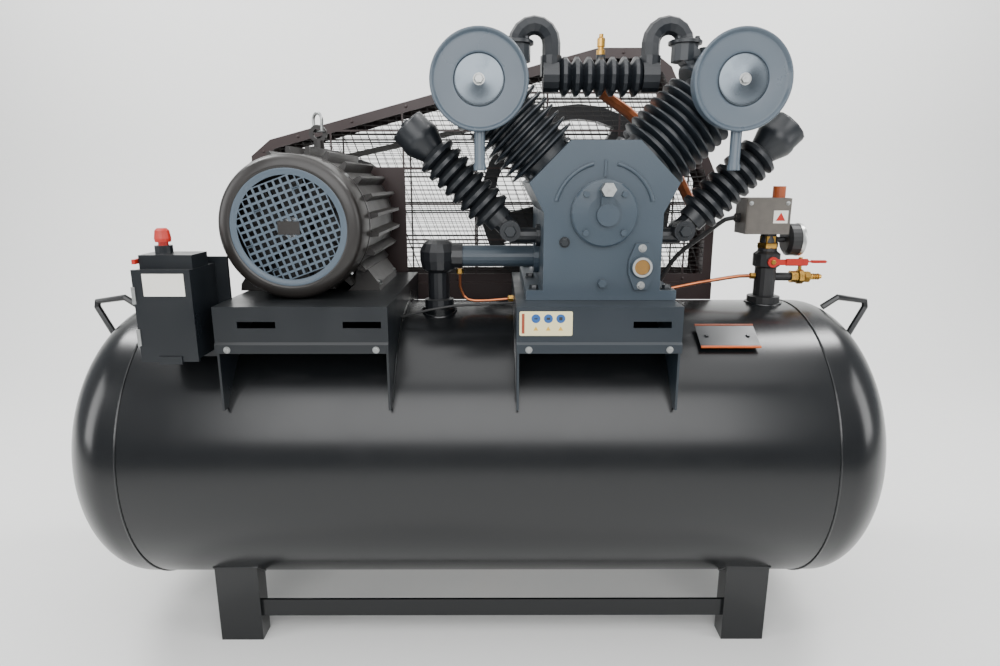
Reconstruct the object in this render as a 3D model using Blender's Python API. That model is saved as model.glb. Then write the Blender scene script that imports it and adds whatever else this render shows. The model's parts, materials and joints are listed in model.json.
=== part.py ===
"""Two-stage belt-driven piston air compressor on a horizontal receiver.

Frame: metres, +Z up, origin on the floor under the middle of the receiver.
X runs along the receiver, the front of the machine faces -Y.
"""

import math

import bmesh
import bpy
from mathutils import Vector

MM = 0.001
GAP = 0.3 * MM
WELD_DISTANCE = 0.000002
TUBE_GAP = 1 * MM
SPIGOT_GAP = 1 * MM
SMOOTH_ANGLE = math.radians(32)
CURVE_PIECES = 3
TUBE_RESOLUTION = 2

# ---------------------------------------------------------------- receiver
TANK_RADIUS = 300 * MM
TANK_WALL = 6 * MM
TANK_AXIS_HEIGHT = 390 * MM
SHELL_HALF = 668 * MM
HEAD_STRAIGHT = 28 * MM
HEAD_DISH = 150 * MM
TANK_STEPS = 36
BOSS_HEIGHT = 8 * MM

# -------------------------------------------------------------------- legs
LEG_WIDTH = 88 * MM
LEG_DEPTH = 42 * MM
LEG_SHEET = 6 * MM
LEG_FRONT = 207 * MM
LEG_LEFT_X = -506 * MM
LEG_RIGHT_X = 553 * MM
RAIL_HEIGHT = 38 * MM
RAIL_BOTTOM = 52 * MM
RAIL_SHEET = 6 * MM
RAIL_INSET = 9 * MM

# ----------------------------------------------------------------- handles
HANDLE_ROD = 7 * MM
HANDLE_INNER = 748 * MM
HANDLE_OUTER = 806 * MM
HANDLE_SHOULDER = 32 * MM
HANDLE_SHOULDER_RISE = 22 * MM
HANDLE_OVERHANG = 34 * MM
HANDLE_RISE = 88 * MM
HANDLE_TIP_DROP = 12 * MM

# ---------------------------------------------------------------- brackets
BRACKET_FRONT = -280 * MM
BRACKET_REAR = 165 * MM
BRACKET_TOP = 733 * MM
BRACKET_SKIRT = 84 * MM
BRACKET_SHEET = 4 * MM
BRACKET_LIP = 16 * MM
MOTOR_BRACKET_X = (-468 * MM, -159 * MM)
PUMP_BRACKET_X = (69 * MM, 364 * MM)
SLOT_LENGTH = 68 * MM
SLOT_WIDTH = 12 * MM
MOTOR_SLOT_INSETS = (42 * MM, 80 * MM)
PUMP_SLOT_INSET = 88 * MM
END_PLATE_INSET = 1 * MM

# ------------------------------------------------------------------- drive
CRANK_X = 227 * MM
CRANK_Z = 892 * MM
MOTOR_X = -342 * MM
MOTOR_SHAFT_HEIGHT = 133 * MM
DRIVE_Y = 250 * MM
FLYWHEEL_RADIUS = 235 * MM
MOTOR_PULLEY_RADIUS = 140 * MM
BELT_PITCH = 20 * MM
BELT_TOP = 17 * MM
BELT_DEPTH = 11 * MM
RIM_WIDTH = 44 * MM
GROOVE_TAPER = 2.2 * MM
BELT_SIDE_GAP = 2.5 * MM
BELT_PROUD = 0.5 * MM
GROOVE_CLEARANCE = 3 * MM
SHAFT_STUB = 7 * MM
FLYWHEEL_WINDOWS = 5
WINDOW_RIM = 20 * MM

# ------------------------------------------------------------------- motor
MOTOR_FRONT = -219 * MM
MOTOR_REAR = 160 * MM
COWL_LENGTH = 88 * MM
COWL_RADIUS = 131 * MM
COWL_WALL = 2 * MM
GRILLE_RADIUS = 114 * MM
GRILLE_PITCH = 28 * MM
GRILLE_BAR = 5 * MM
FRAME_RADIUS = 130 * MM
FIN_TIP_RADIUS = 148 * MM
FRAME_FIN_COUNT = 24
FRAME_FIN_SHAPE = ((0.30, FRAME_RADIUS), (0.42, FIN_TIP_RADIUS), (0.58, FIN_TIP_RADIUS), (0.70, FRAME_RADIUS))
STATOR_BORE = 82 * MM
SHAFT_RADIUS = 19 * MM
SHIELD_THICK = 22 * MM
FOOT_SPREAD = 108 * MM
AIR_GAP = 2 * MM
FOOT_HALF = 32 * MM
FOOT_HEIGHT = 14 * MM
FOOT_GUSSET = 70 * MM
FOOT_END_INSET = 25 * MM
ROTOR_END_INSET = 20 * MM
ROTOR_NOSE = 14 * MM
FAN_START = 30 * MM
FAN_LENGTH = 38 * MM
FAN_DISC = 4 * MM
FAN_HUB = 12 * MM
FAN_TIP_GAP = 20 * MM
FAN_BLADES = 7
LIFTING_EYE_X = MOTOR_X + 4 * MM
LIFTING_EYE_Y = 10 * MM
LIFTING_EYE_HOLE = 10 * MM
LIFTING_EYE_RING = 18 * MM
MOTOR_Z = BRACKET_TOP + MOTOR_SHAFT_HEIGHT
FRAME_START = MOTOR_FRONT + COWL_LENGTH
FRAME_END = MOTOR_REAR - SHIELD_THICK

# --------------------------------------------------------------- crankcase
CASE_FRONT = -215 * MM
CASE_REAR = 160 * MM
CASE_HALF = 108 * MM
CASE_SHOULDER = 135 * MM
CASE_TOP_HALF = 61 * MM
SEAT_RISE = 53 * MM
TOP_RISE = 127 * MM
BASE_FLANGE = 18 * MM
BASE_FLANGE_HALF = 139 * MM
CHAMBER_RADIUS = 84 * MM
CHAMBER_WALL = 22 * MM
BEARING_BORE = 46 * MM
COVER_RADIUS = 60 * MM
JOURNAL_RADIUS = 25 * MM
CRANK_THROW = 30 * MM
CRANK_PIN_RADIUS = 20 * MM
WEB_THICK = 22 * MM
WEB_TOP_HALF = 28 * MM
WEB_WAIST_HALF = 50 * MM
WEB_FOOT_HALF = 36 * MM
WEB_COUNTERWEIGHT = 62 * MM
JOURNAL_LENGTH = 30 * MM
COVER_THICK = 14 * MM
COVER_SPIGOT = 30 * MM
COVER_BOSS_RADIUS = 20 * MM
COVER_BOSS_PROUD = 11 * MM
COVER_BOLT_RADIUS = 6 * MM
COVER_BOLT_CIRCLE = 0.80 * COVER_RADIUS
BREATHER_RADIUS = 13 * MM
BREATHER_PROUD = 26 * MM
BREATHER_RISE = 42 * MM
SIGHT_OFFSET = 71 * MM
SIGHT_DROP = 96 * MM
SIGHT_RADIUS = 21 * MM
SIGHT_WINDOW = 14 * MM
DRAIN_DROP = 126 * MM

# --------------------------------------------------------------- cylinders
BANK_ANGLE = math.radians(45)
SEAT_DISTANCE = 133 * MM
FIRST_Y = -110 * MM
FIRST_BORE = 46 * MM
FIRST_BARREL = 55 * MM
FIRST_FIN = 77 * MM
FIRST_LENGTH = 156 * MM
FIRST_FIN_COUNT = 8
FIRST_HEAD = 52 * MM
FIRST_HEAD_RADIUS = 80 * MM
FIRST_HEAD_RIB = 7 * MM
SECOND_Y = 58 * MM
SECOND_BORE = 33 * MM
SECOND_BARREL = 41 * MM
SECOND_FIN = 57 * MM
SECOND_LENGTH = 120 * MM
SECOND_FIN_COUNT = 5
SECOND_HEAD = 36 * MM
SECOND_HEAD_MARGIN = 10 * MM
PISTON_CLEARANCE = 0.5 * MM
PISTON_TOP_GAP = 4 * MM
STROKE = 2 * CRANK_THROW

# ----------------------------------------------------- coolers and filters
PORT_OFFSET = 95 * MM
BEND_TUBE = 17 * MM
PORT_HALF = 22 * MM
PORT_FLANGE = BEND_TUBE + 8 * MM
PORT_FLANGE_TOP = 12 * MM
INTERCOOLER_Z = 1138 * MM
INTERCOOLER_HALF = 107 * MM
INTERCOOLER_RADIUS = 22 * MM
INTERCOOLER_FIN = 35 * MM
INTERCOOLER_FIN_COUNT = 7
INTERCOOLER_BLOCK = 30 * MM
INTERCOOLER_BLOCK_RADIUS = INTERCOOLER_RADIUS + 6 * MM
INTERCOOLER_PORT_RISE = INTERCOOLER_RADIUS + 14 * MM
INTERCOOLER_BACK_PORT = 40 * MM
SAFETY_BOSS_RISE = INTERCOOLER_FIN + 3 * MM
SIDE_COOLER_OFFSET = 145 * MM
SIDE_COOLER_START = 92 * MM
SIDE_COOLER_END = 345 * MM
SIDE_COOLER_CORE = 26 * MM
SIDE_COOLER_FIN = 40 * MM
SIDE_COOLER_FIN_COUNT = 8
COOLER_DUCT_RADIUS = 15 * MM
COOLER_DUCT_DROP = 10 * MM
COOLER_BOSS_RADIUS = 20 * MM
INTERSTAGE_TUBE = 11 * MM
INTERSTAGE_RISE = 62 * MM
INTERSTAGE_BOSS = 52 * MM
FILTER_RADIUS = 84 * MM
FILTER_DEPTH = 54 * MM
FILTER_STEM = 148 * MM
FILTER_STEM_RADIUS = 9.5 * MM
FILTER_NECK = 24 * MM
FILTER_NUT = 8 * MM

# ----------------------------------------------------------- discharge line
DISCHARGE_Y = -60 * MM
DISCHARGE_Z = 798 * MM
DISCHARGE_TUBE = 22 * MM
CHECK_VALVE_X = -87 * MM
CHECK_VALVE_RADIUS = 38 * MM
CHECK_VALVE_TUBE = 22 * MM
CHECK_VALVE_NUT = 12 * MM
BOSS_MARGIN = 12 * MM
DISCHARGE_FLANGE = DISCHARGE_TUBE + 12 * MM
UNLOADER_TUBE = 3 * MM
CONTROL_TUBE = 4 * MM
CABLE_RADIUS = 5 * MM

# ------------------------------------------------------------- belt guard
GUARD_FRONT = 176 * MM
GUARD_REAR = 303 * MM
GUARD_SHEET = 2 * MM
GUARD_FRAME = 22 * MM
GUARD_CELL = 84 * MM
GUARD_CELL_WIDE = 168 * MM
GUARD_BAR = 4 * MM
SMALLEST_CELL = 0.0006
SHAFT_PLATE_MARGIN = 6 * MM
GUARD_BASE = 706 * MM
GUARD_BEAM = 40 * MM
GUARD_LEFT_MARGIN = 60 * MM
GUARD_RIGHT_MARGIN = 94 * MM
GUARD_TOP_MARGIN = 115 * MM
SHAFT_CLEARANCE = 30 * MM

# ---------------------------------------------------------------- controls
BOX_X = (-588 * MM, -492 * MM)
BOX_Y = (-300 * MM, -190 * MM)
BOX_Z = (643 * MM, 800 * MM)
BOX_WALL = 3 * MM
DOOR_THICK = 6 * MM
DOOR_LAP = 2 * MM
CONTROL_HEAD_HEIGHT = 24 * MM
HOSE_RADIUS = 6 * MM
BUTTON_X = -556 * MM
BUTTON_RADIUS = 13 * MM
BUTTON_BACK = 54 * MM
ISOLATOR_BACK = 48 * MM
ISOLATOR_RISE = 13 * MM
ISOLATOR_ARM = 34 * MM
RISER_X = 616 * MM
RISER_RADIUS = 22 * MM
SWITCH_LEFT = RISER_X - 62 * MM
SWITCH_WIDTH = 92 * MM
GAUGE_RADIUS = 34 * MM
GAUGE_Z = 826 * MM
GAUGE_FACE_X = 684 * MM
COCK_X = 682 * MM
COCK_Z = 746 * MM
COCK_BACK = 12 * MM
COCK_LENGTH = 44 * MM
COCK_LEVER = 54 * MM
GAUGE_DEPTH = 34 * MM
NEEDLE_REST = math.radians(135)
RISER_HEIGHT = 148 * MM
RISER_LEVER = 72 * MM
SPINDLE_RISE = 92 * MM
SPINDLE_RADIUS = 5 * MM
SWITCH_RISE = 150 * MM
SWITCH_HEIGHT = 74 * MM
KNOB_RADIUS = 13 * MM
KNOB_HEIGHT = 24 * MM
CABLE_Y = 10 * MM
CABLE_Z = 872 * MM
SWITCH_GLAND = 10 * MM
NEEDLE_LENGTH = 23 * MM
DRAIN_X = 20 * MM
DRAIN_DEPTH = 34 * MM

FINISHES = {
    "tank paint": ((0.010, 0.011, 0.013), 0.28, 0.3),
    "bracket paint": ((0.013, 0.015, 0.018), 0.35, 0.2),
    "motor paint": ((0.020, 0.018, 0.016), 0.45, 0.2),
    "pump paint": ((0.060, 0.080, 0.100), 0.45, 0.3),
    "cast iron": ((0.035, 0.038, 0.042), 0.55, 0.6),
    "oxide paint": ((0.040, 0.018, 0.015), 0.5, 0.1),
    "bright steel": ((0.560, 0.570, 0.580), 0.3, 1.0),
    "aluminium": ((0.600, 0.610, 0.620), 0.4, 1.0),
    "copper": ((0.640, 0.300, 0.170), 0.3, 1.0),
    "brass": ((0.660, 0.480, 0.190), 0.3, 1.0),
    "rubber": ((0.012, 0.012, 0.012), 0.8, 0.0),
    "red plastic": ((0.520, 0.040, 0.020), 0.4, 0.0),
    "black plastic": ((0.018, 0.018, 0.020), 0.5, 0.0),
    "glass": ((0.600, 0.620, 0.580), 0.08, 0.0),
}


# ==================================================================== tools
def clear_scene():
    """Remove every object that the scene starts with."""
    for thing in list(bpy.data.objects):
        bpy.data.objects.remove(thing, do_unlink=True)


def coat(thing, finish):
    """Give the object its own material."""
    colour, roughness, metallic = FINISHES[finish]
    paint = bpy.data.materials.new(f"{thing.name} {finish}")
    paint.use_nodes = True
    shader = paint.node_tree.nodes["Principled BSDF"]
    shader.inputs["Base Color"].default_value = (*colour, 1.0)
    shader.inputs["Roughness"].default_value = roughness
    shader.inputs["Metallic"].default_value = metallic
    thing.data.materials.append(paint)


def place(thing, at=(0, 0, 0), along=None, parent=None):
    """Put the object at a point, its local Z along a direction."""
    bpy.context.scene.collection.objects.link(thing)
    thing.location = at
    if along is not None:
        thing.rotation_euler = Vector(along).to_track_quat("Z", "Y").to_euler()
    thing.parent = parent


def solid(name, bm, finish, at=(0, 0, 0), along=None, parent=None):
    """Turn a bmesh into a placed, smooth-shaded object."""
    bmesh.ops.remove_doubles(bm, verts=bm.verts, dist=WELD_DISTANCE)
    bmesh.ops.recalc_face_normals(bm, faces=bm.faces)
    mesh = bpy.data.meshes.new(name)
    bm.to_mesh(mesh)
    bm.free()
    mesh.shade_smooth()
    mesh.set_sharp_from_angle(angle=SMOOTH_ANGLE)
    thing = bpy.data.objects.new(name, mesh)
    place(thing, at, along, parent)
    coat(thing, finish)
    return thing


def turned(name, profile, finish, at=(0, 0, 0), along=None, parent=None, steps=24):
    """Revolve (radius, height) points about local Z; a ring profile is closed."""
    bm = bmesh.new()
    verts = [bm.verts.new((radius, 0, height)) for radius, height in profile]
    edges = [bm.edges.new(pair) for pair in zip(verts, verts[1:])]
    if profile[0][0] > 0:
        edges.append(bm.edges.new((verts[-1], verts[0])))
    bmesh.ops.spin(
        bm, geom=verts + edges, cent=(0, 0, 0), axis=(0, 0, 1),
        angle=2 * math.pi, steps=steps, use_merge=True,
    )
    return solid(name, bm, finish, at, along, parent)


def rod(name, radius, length, finish, at=(0, 0, 0), along=None, parent=None, steps=16):
    """A plain round bar from its base point."""
    profile = [(0, 0), (radius, 0), (radius, length), (0, length)]
    return turned(name, profile, finish, at, along, parent, steps)


def ring(name, inner, outer, length, finish, at=(0, 0, 0), along=None, parent=None, steps=24):
    """A round tube from its base point."""
    profile = [(inner, 0), (outer, 0), (outer, length), (inner, length)]
    return turned(name, profile, finish, at, along, parent, steps)


def slab(name, low, high, finish, parent=None):
    """A box between two corners."""
    bm = bmesh.new()
    bmesh.ops.create_cube(bm, size=1.0)
    low = Vector(low)
    high = Vector(high)
    bmesh.ops.scale(bm, vec=high - low, verts=bm.verts)
    bmesh.ops.translate(bm, vec=(low + high) / 2, verts=bm.verts)
    return solid(name, bm, finish, parent=parent)


def prism(name, outline, start, end, finish, parent=None, hole=None, axis="Y"):
    """Extrude an outline along an axis, with an optional hole of the same point count.

    The outline is in XZ for axis Y, in XY for axis Z and in YZ for axis X.
    """
    spot = {
        "X": lambda a, b: (start, a, b),
        "Y": lambda a, b: (a, start, b),
        "Z": lambda a, b: (a, b, start),
    }[axis]
    bm = bmesh.new()
    outer = [bm.verts.new(spot(a, b)) for a, b in outline]
    if hole is None:
        faces = [bm.faces.new(outer)]
    else:
        inner = [bm.verts.new(spot(a, b)) for a, b in hole]
        count = len(outer)
        faces = [
            bm.faces.new((outer[i], outer[(i + 1) % count], inner[(i + 1) % count], inner[i]))
            for i in range(count)
        ]
    grown = bmesh.ops.extrude_face_region(bm, geom=faces)
    moved = [item for item in grown["geom"] if isinstance(item, bmesh.types.BMVert)]
    along = Vector((axis == "X", axis == "Y", axis == "Z"))
    bmesh.ops.translate(bm, vec=along * (end - start), verts=moved)
    return solid(name, bm, finish, parent=parent)


def punch(name, outlines, start, end):
    """One cutter made of many separate prisms along Y."""
    bm = bmesh.new()
    faces = [bm.faces.new([bm.verts.new((x, start, z)) for x, z in outline]) for outline in outlines]
    grown = bmesh.ops.extrude_face_region(bm, geom=faces)
    moved = [item for item in grown["geom"] if isinstance(item, bmesh.types.BMVert)]
    bmesh.ops.translate(bm, vec=(0, end - start, 0), verts=moved)
    return solid(name, bm, "tank paint")


def bent_tube(name, points, radius, finish):
    """A round tube along points."""
    curve = bpy.data.curves.new(name, "CURVE")
    curve.dimensions = "3D"
    spline = curve.splines.new("POLY")
    spline.points.add(len(points) - 1)
    for knot, point in zip(spline.points, points):
        knot.co = (*point, 1.0)
    curve.bevel_depth = radius
    curve.bevel_resolution = TUBE_RESOLUTION
    curve.use_fill_caps = True
    thing = bpy.data.objects.new(name, curve)
    place(thing)
    coat(thing, finish)


def flowing(points):
    """Points along one smooth curve through the given points, straight at both ends."""
    route = [Vector(point) for point in points]
    made = [route[0]]
    for before, start, end, after in zip(route, route[1:], route[2:], route[3:]):
        for step in range(CURVE_PIECES):
            t = step / CURVE_PIECES
            made.append(
                0.5 * (
                    2 * start + (end - before) * t
                    + (2 * before - 5 * start + 4 * end - after) * t**2
                    + (3 * start - before - 3 * end + after) * t**3
                )
            )
    return [*made, route[-2], route[-1]]


def boolean(body, tool, operation):
    """Hide the tool and let it cut or join the body."""
    tool.hide_render = True
    tool.display_type = "WIRE"
    step = body.modifiers.new(tool.name, "BOOLEAN")
    step.operation = operation
    step.object = tool


def cut(body, *tools):
    """Take the tools out of the body."""
    for tool in tools:
        boolean(body, tool, "DIFFERENCE")


def fuse(body, *tools):
    """Make the tools part of the body."""
    for tool in tools:
        boolean(body, tool, "UNION")


def tank_surface(y):
    """Height just above the receiver at a distance from its middle plane."""
    radius = TANK_RADIUS + GAP
    return TANK_AXIS_HEIGHT + math.sqrt(radius**2 - y**2)


def finned(bore, core, tip, length, count):
    """Ring profile of a barrel with tapered fins between two plain ends."""
    end = 0.09 * length
    pitch = (length - 2 * end) / count
    outer = [(core, 0)]
    for index in range(count):
        foot = end + index * pitch
        outer += [(core, foot), (tip, foot + 0.26 * pitch), (tip, foot + 0.56 * pitch)]
    outer += [(core, length - end), (core, length)]
    return [(bore, 0), *outer, (bore, length)]


# ================================================================= receiver
def tank_cutter(name):
    """The receiver's outer cylinder, for pieces that end on it."""
    return rod(
        name, TANK_RADIUS + GAP, 2.4 * SHELL_HALF, "tank paint",
        at=(-1.2 * SHELL_HALF, 0, TANK_AXIS_HEIGHT), along=(1, 0, 0), steps=TANK_STEPS,
    )


def dished_profile(radius, dish, points):
    """(radius, height) points of a dished end, from its rim to its crown."""
    return [
        (radius * math.cos(angle), HEAD_STRAIGHT + dish * math.sin(angle))
        for angle in (math.pi / 2 * step / points for step in range(points + 1))
    ]


def receiver():
    """The shell and its two dished ends."""
    shell = ring(
        "tank_shell", TANK_RADIUS - TANK_WALL, TANK_RADIUS, 2 * SHELL_HALF, "tank paint",
        at=(-SHELL_HALF, 0, TANK_AXIS_HEIGHT), along=(1, 0, 0), steps=TANK_STEPS,
    )
    outer = dished_profile(TANK_RADIUS, HEAD_DISH, 5)
    inner = dished_profile(TANK_RADIUS - TANK_WALL, HEAD_DISH - TANK_WALL, 3)
    profile = [(0, outer[-1][1]), *outer[-2::-1], (TANK_RADIUS, 0)]
    profile += [(TANK_RADIUS - TANK_WALL, 0), *inner[:-1], (0, inner[-1][1])]
    for side, name in ((-1, "tank_head_left"), (1, "tank_head_right")):
        turned(
            name, profile, "tank paint", at=(side * (SHELL_HALF + GAP), 0, TANK_AXIS_HEIGHT),
            along=(side, 0, 0), steps=TANK_STEPS,
        )
    return shell


def leg_frames():
    """Two channel legs and a flat rail, welded into one frame, front and rear."""
    half = LEG_WIDTH / 2
    inner = half - LEG_SHEET
    for side, name in ((-1, "leg_frame_front"), (1, "leg_frame_rear")):
        web = side * LEG_FRONT
        back = web - side * LEG_SHEET
        inside = web - side * LEG_DEPTH
        legs = []
        for x in (LEG_LEFT_X, LEG_RIGHT_X):
            channel = [
                (x - half, inside), (x - half, web), (x + half, web), (x + half, inside),
                (x + inner, inside), (x + inner, back), (x - inner, back), (x - inner, inside),
            ]
            leg = prism(f"{name}_leg_{len(legs)}", channel, 0, TANK_AXIS_HEIGHT, "tank paint", axis="Z")
            legs.append(leg)
        rail_y = sorted((web - side * RAIL_INSET, web - side * (RAIL_INSET + RAIL_SHEET)))
        frame = slab(
            name, (LEG_LEFT_X + half - LEG_SHEET / 2, rail_y[0], RAIL_BOTTOM),
            (LEG_RIGHT_X - half + LEG_SHEET / 2, rail_y[1], RAIL_BOTTOM + RAIL_HEIGHT),
            "tank paint",
        )
        fuse(frame, *legs)
        cut(frame, tank_cutter(f"{name}_saddle"))


def head_top(x):
    """Height of a dished end's upper outline at a distance from the middle."""
    reach = (x - SHELL_HALF - HEAD_STRAIGHT) / HEAD_DISH
    return TANK_AXIS_HEIGHT + TANK_RADIUS * math.sqrt(1 - reach**2)


def handles():
    """A bent-rod grip on the top of each dished end."""
    inner = head_top(HANDLE_INNER) + HANDLE_ROD
    outer = head_top(HANDLE_OUTER) + 1.4 * HANDLE_ROD
    route = [
        (HANDLE_INNER, inner),
        (HANDLE_INNER + HANDLE_SHOULDER, inner + HANDLE_SHOULDER_RISE),
        (HANDLE_OUTER + HANDLE_OVERHANG, outer + HANDLE_RISE),
        (HANDLE_OUTER + HANDLE_OVERHANG + 2 * MM, outer + HANDLE_RISE - HANDLE_TIP_DROP),
        (HANDLE_OUTER, outer),
    ]
    for side, name in ((-1, "lifting_handle_left"), (1, "lifting_handle_right")):
        bent_tube(name, [(side * x, 0, z) for x, z in route], HANDLE_ROD, "tank paint")


# ================================================================= brackets
def bracket(name, span, slots):
    """A folded sheet saddle: top, two skirts, a front lip, and end plates standing on the tank."""
    x0, x1 = span
    sheet = BRACKET_SHEET
    low = BRACKET_TOP - BRACKET_SKIRT
    front = BRACKET_FRONT
    rear = BRACKET_REAR
    profile = [
        (front - sheet, low), (front - sheet, low + BRACKET_LIP), (front, low + BRACKET_LIP + sheet),
        (front, BRACKET_TOP), (rear, BRACKET_TOP), (rear, low), (rear - sheet, low),
        (rear - sheet, BRACKET_TOP - sheet), (front + sheet, BRACKET_TOP - sheet),
        (front + sheet, low + BRACKET_LIP + sheet), (front, low + BRACKET_LIP), (front, low),
    ]
    body = prism(name, profile, x0, x1, "bracket paint", axis="X")
    for x in (x0 + END_PLATE_INSET, x1 - END_PLATE_INSET - sheet):
        plate = slab(
            f"{name}_end_plate", (x, front + sheet / 2, TANK_AXIS_HEIGHT + TANK_RADIUS / 2),
            (x + sheet, rear - sheet / 2, BRACKET_TOP - sheet / 2), "bracket paint",
        )
        fuse(body, plate)
    cut(body, tank_cutter(f"{name}_saddle"))
    height = BRACKET_TOP - 0.46 * BRACKET_SKIRT
    for x in slots:
        slot = slab(
            f"{name}_slot", (x, front - 3 * sheet, height),
            (x + SLOT_LENGTH, front + 3 * sheet, height + SLOT_WIDTH),
            "bracket paint",
        )
        cut(body, slot)


# ==================================================================== motor
def motor_frame():
    """Ribbed frame with two feet, a bored stator, a rear end shield and a lifting eye."""
    step = 2 * math.pi / FRAME_FIN_COUNT
    outline = []
    for index in range(FRAME_FIN_COUNT):
        for share, radius in FRAME_FIN_SHAPE:
            angle = (index + share) * step
            outline.append((MOTOR_X + radius * math.sin(angle), MOTOR_Z + radius * math.cos(angle)))
    frame = prism("motor_frame", outline, FRAME_START, FRAME_END, "motor paint")
    underside = BRACKET_TOP + GAP
    trim = slab(
        "motor_frame_trim", (MOTOR_X - 2 * FIN_TIP_RADIUS, MOTOR_FRONT, underside - 60 * MM),
        (MOTOR_X + 2 * FIN_TIP_RADIUS, MOTOR_REAR, underside + 8 * MM), "motor paint",
    )
    cut(frame, trim)
    for side in (-1, 1):
        middle = MOTOR_X + side * FOOT_SPREAD
        foot = [
            (middle - FOOT_HALF, underside), (middle + FOOT_HALF, underside),
            (middle + FOOT_HALF * (0.94 if side > 0 else 0.56), underside + FOOT_HEIGHT),
            (middle - side * 10 * MM, underside + FOOT_GUSSET),
            (middle - FOOT_HALF * (0.56 if side > 0 else 0.94), underside + FOOT_HEIGHT),
        ]
        foot_span = (FRAME_START + FOOT_END_INSET, FRAME_END - FOOT_END_INSET)
        fuse(frame, prism(f"motor_foot_{side}", foot, *foot_span, "motor paint"))
    bore = rod(
        "motor_frame_bore", STATOR_BORE, MOTOR_REAR - MOTOR_FRONT, "motor paint",
        at=(MOTOR_X, MOTOR_FRONT, MOTOR_Z), along=(0, 1, 0), steps=24,
    )
    cut(frame, bore)
    shaft_hole = SHAFT_RADIUS + AIR_GAP
    shield = turned(
        "motor_end_shield",
        [
            (shaft_hole, 0), (FRAME_RADIUS + MM, 0), (FRAME_RADIUS + MM, 10 * MM),
            (0.62 * FRAME_RADIUS, SHIELD_THICK - 8 * MM), (0.4 * FRAME_RADIUS, SHIELD_THICK - GAP),
            (shaft_hole, SHIELD_THICK - GAP),
        ],
        "motor paint", at=(MOTOR_X, FRAME_END - 1 * MM, MOTOR_Z), along=(0, 1, 0), steps=24,
    )
    fuse(frame, shield)
    top = MOTOR_Z + FIN_TIP_RADIUS
    shank = rod(
        "lifting_eye_shank", LIFTING_EYE_HOLE + MM, 36 * MM, "bright steel",
        at=(LIFTING_EYE_X, LIFTING_EYE_Y, top - 20 * MM), along=(0, 0, 1), steps=12,
    )
    loop = ring(
        "lifting_eye_loop", LIFTING_EYE_HOLE, LIFTING_EYE_RING, 10 * MM, "bright steel",
        at=(LIFTING_EYE_X, LIFTING_EYE_Y - 5 * MM, top + 30 * MM), along=(0, 1, 0), steps=16,
    )
    fuse(frame, shank, loop)


def fan_cowl():
    """Spun cowl over the fan, with a square grid of openings in its face."""
    wall = COWL_RADIUS - COWL_WALL
    cowl = turned(
        "motor_fan_cowl",
        [
            (0, 0), (COWL_RADIUS - 14 * MM, 0), (COWL_RADIUS - 4 * MM, 4 * MM), (COWL_RADIUS, 14 * MM),
            (COWL_RADIUS, COWL_LENGTH - GAP), (wall, COWL_LENGTH - GAP), (wall, 16 * MM),
            (COWL_RADIUS - 16 * MM, 3 * MM), (0, 3 * MM),
        ],
        "motor paint", at=(MOTOR_X, MOTOR_FRONT, MOTOR_Z), along=(0, 1, 0), steps=24,
    )
    reach = int(GRILLE_RADIUS / GRILLE_PITCH) + 1
    half = (GRILLE_PITCH - GRILLE_BAR) / 2
    holes = []
    for column in range(-reach, reach + 1):
        for row in range(-reach, reach + 1):
            if math.hypot(abs(column) + 0.45, abs(row) + 0.45) * GRILLE_PITCH > GRILLE_RADIUS:
                continue
            x = MOTOR_X + column * GRILLE_PITCH
            z = MOTOR_Z + row * GRILLE_PITCH
            holes.append(
                [(x - half, z - half), (x + half, z - half), (x + half, z + half), (x - half, z + half)],
            )
    cut(cowl, punch("grille_punch", holes, MOTOR_FRONT - 5 * MM, MOTOR_FRONT + 8 * MM))


def rotor_and_fan():
    """Rotor core on its shaft, and the radial fan that turns with it."""
    shaft = SHAFT_RADIUS
    core = STATOR_BORE - AIR_GAP
    shaft_end = DRIVE_Y + RIM_WIDTH / 2 + SHAFT_STUB - MOTOR_FRONT
    core_start = FRAME_START + ROTOR_END_INSET - MOTOR_FRONT
    core_end = FRAME_END - ROTOR_END_INSET - MOTOR_FRONT
    turned(
        "motor_rotor",
        [
            (0, ROTOR_NOSE), (shaft, ROTOR_NOSE), (shaft, core_start), (core, core_start),
            (core, core_end), (shaft, core_end), (shaft, shaft_end), (0, shaft_end),
        ],
        "bright steel", at=(MOTOR_X, MOTOR_FRONT, MOTOR_Z), along=(0, 1, 0), steps=20,
    )
    bore = shaft + SPIGOT_GAP
    hub = shaft + FAN_HUB
    disc = FAN_LENGTH - FAN_DISC
    tip = COWL_RADIUS - FAN_TIP_GAP
    fan = turned(
        "motor_fan",
        [(bore, 0), (hub, 0), (hub, disc), (tip, disc), (tip, FAN_LENGTH), (bore, FAN_LENGTH)],
        "black plastic", at=(MOTOR_X, MOTOR_FRONT + FAN_START, MOTOR_Z), along=(0, 1, 0), steps=16,
    )
    for index in range(FAN_BLADES):
        blade = slab(
            f"fan_blade_{index}", (hub - 4 * MM, -2 * MM, 4 * MM), (tip - 4 * MM, 2 * MM, disc + 2 * MM),
            "black plastic", parent=fan,
        )
        blade.rotation_euler = (0, 0, 2 * math.pi * index / FAN_BLADES)
        fuse(fan, blade)


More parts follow.
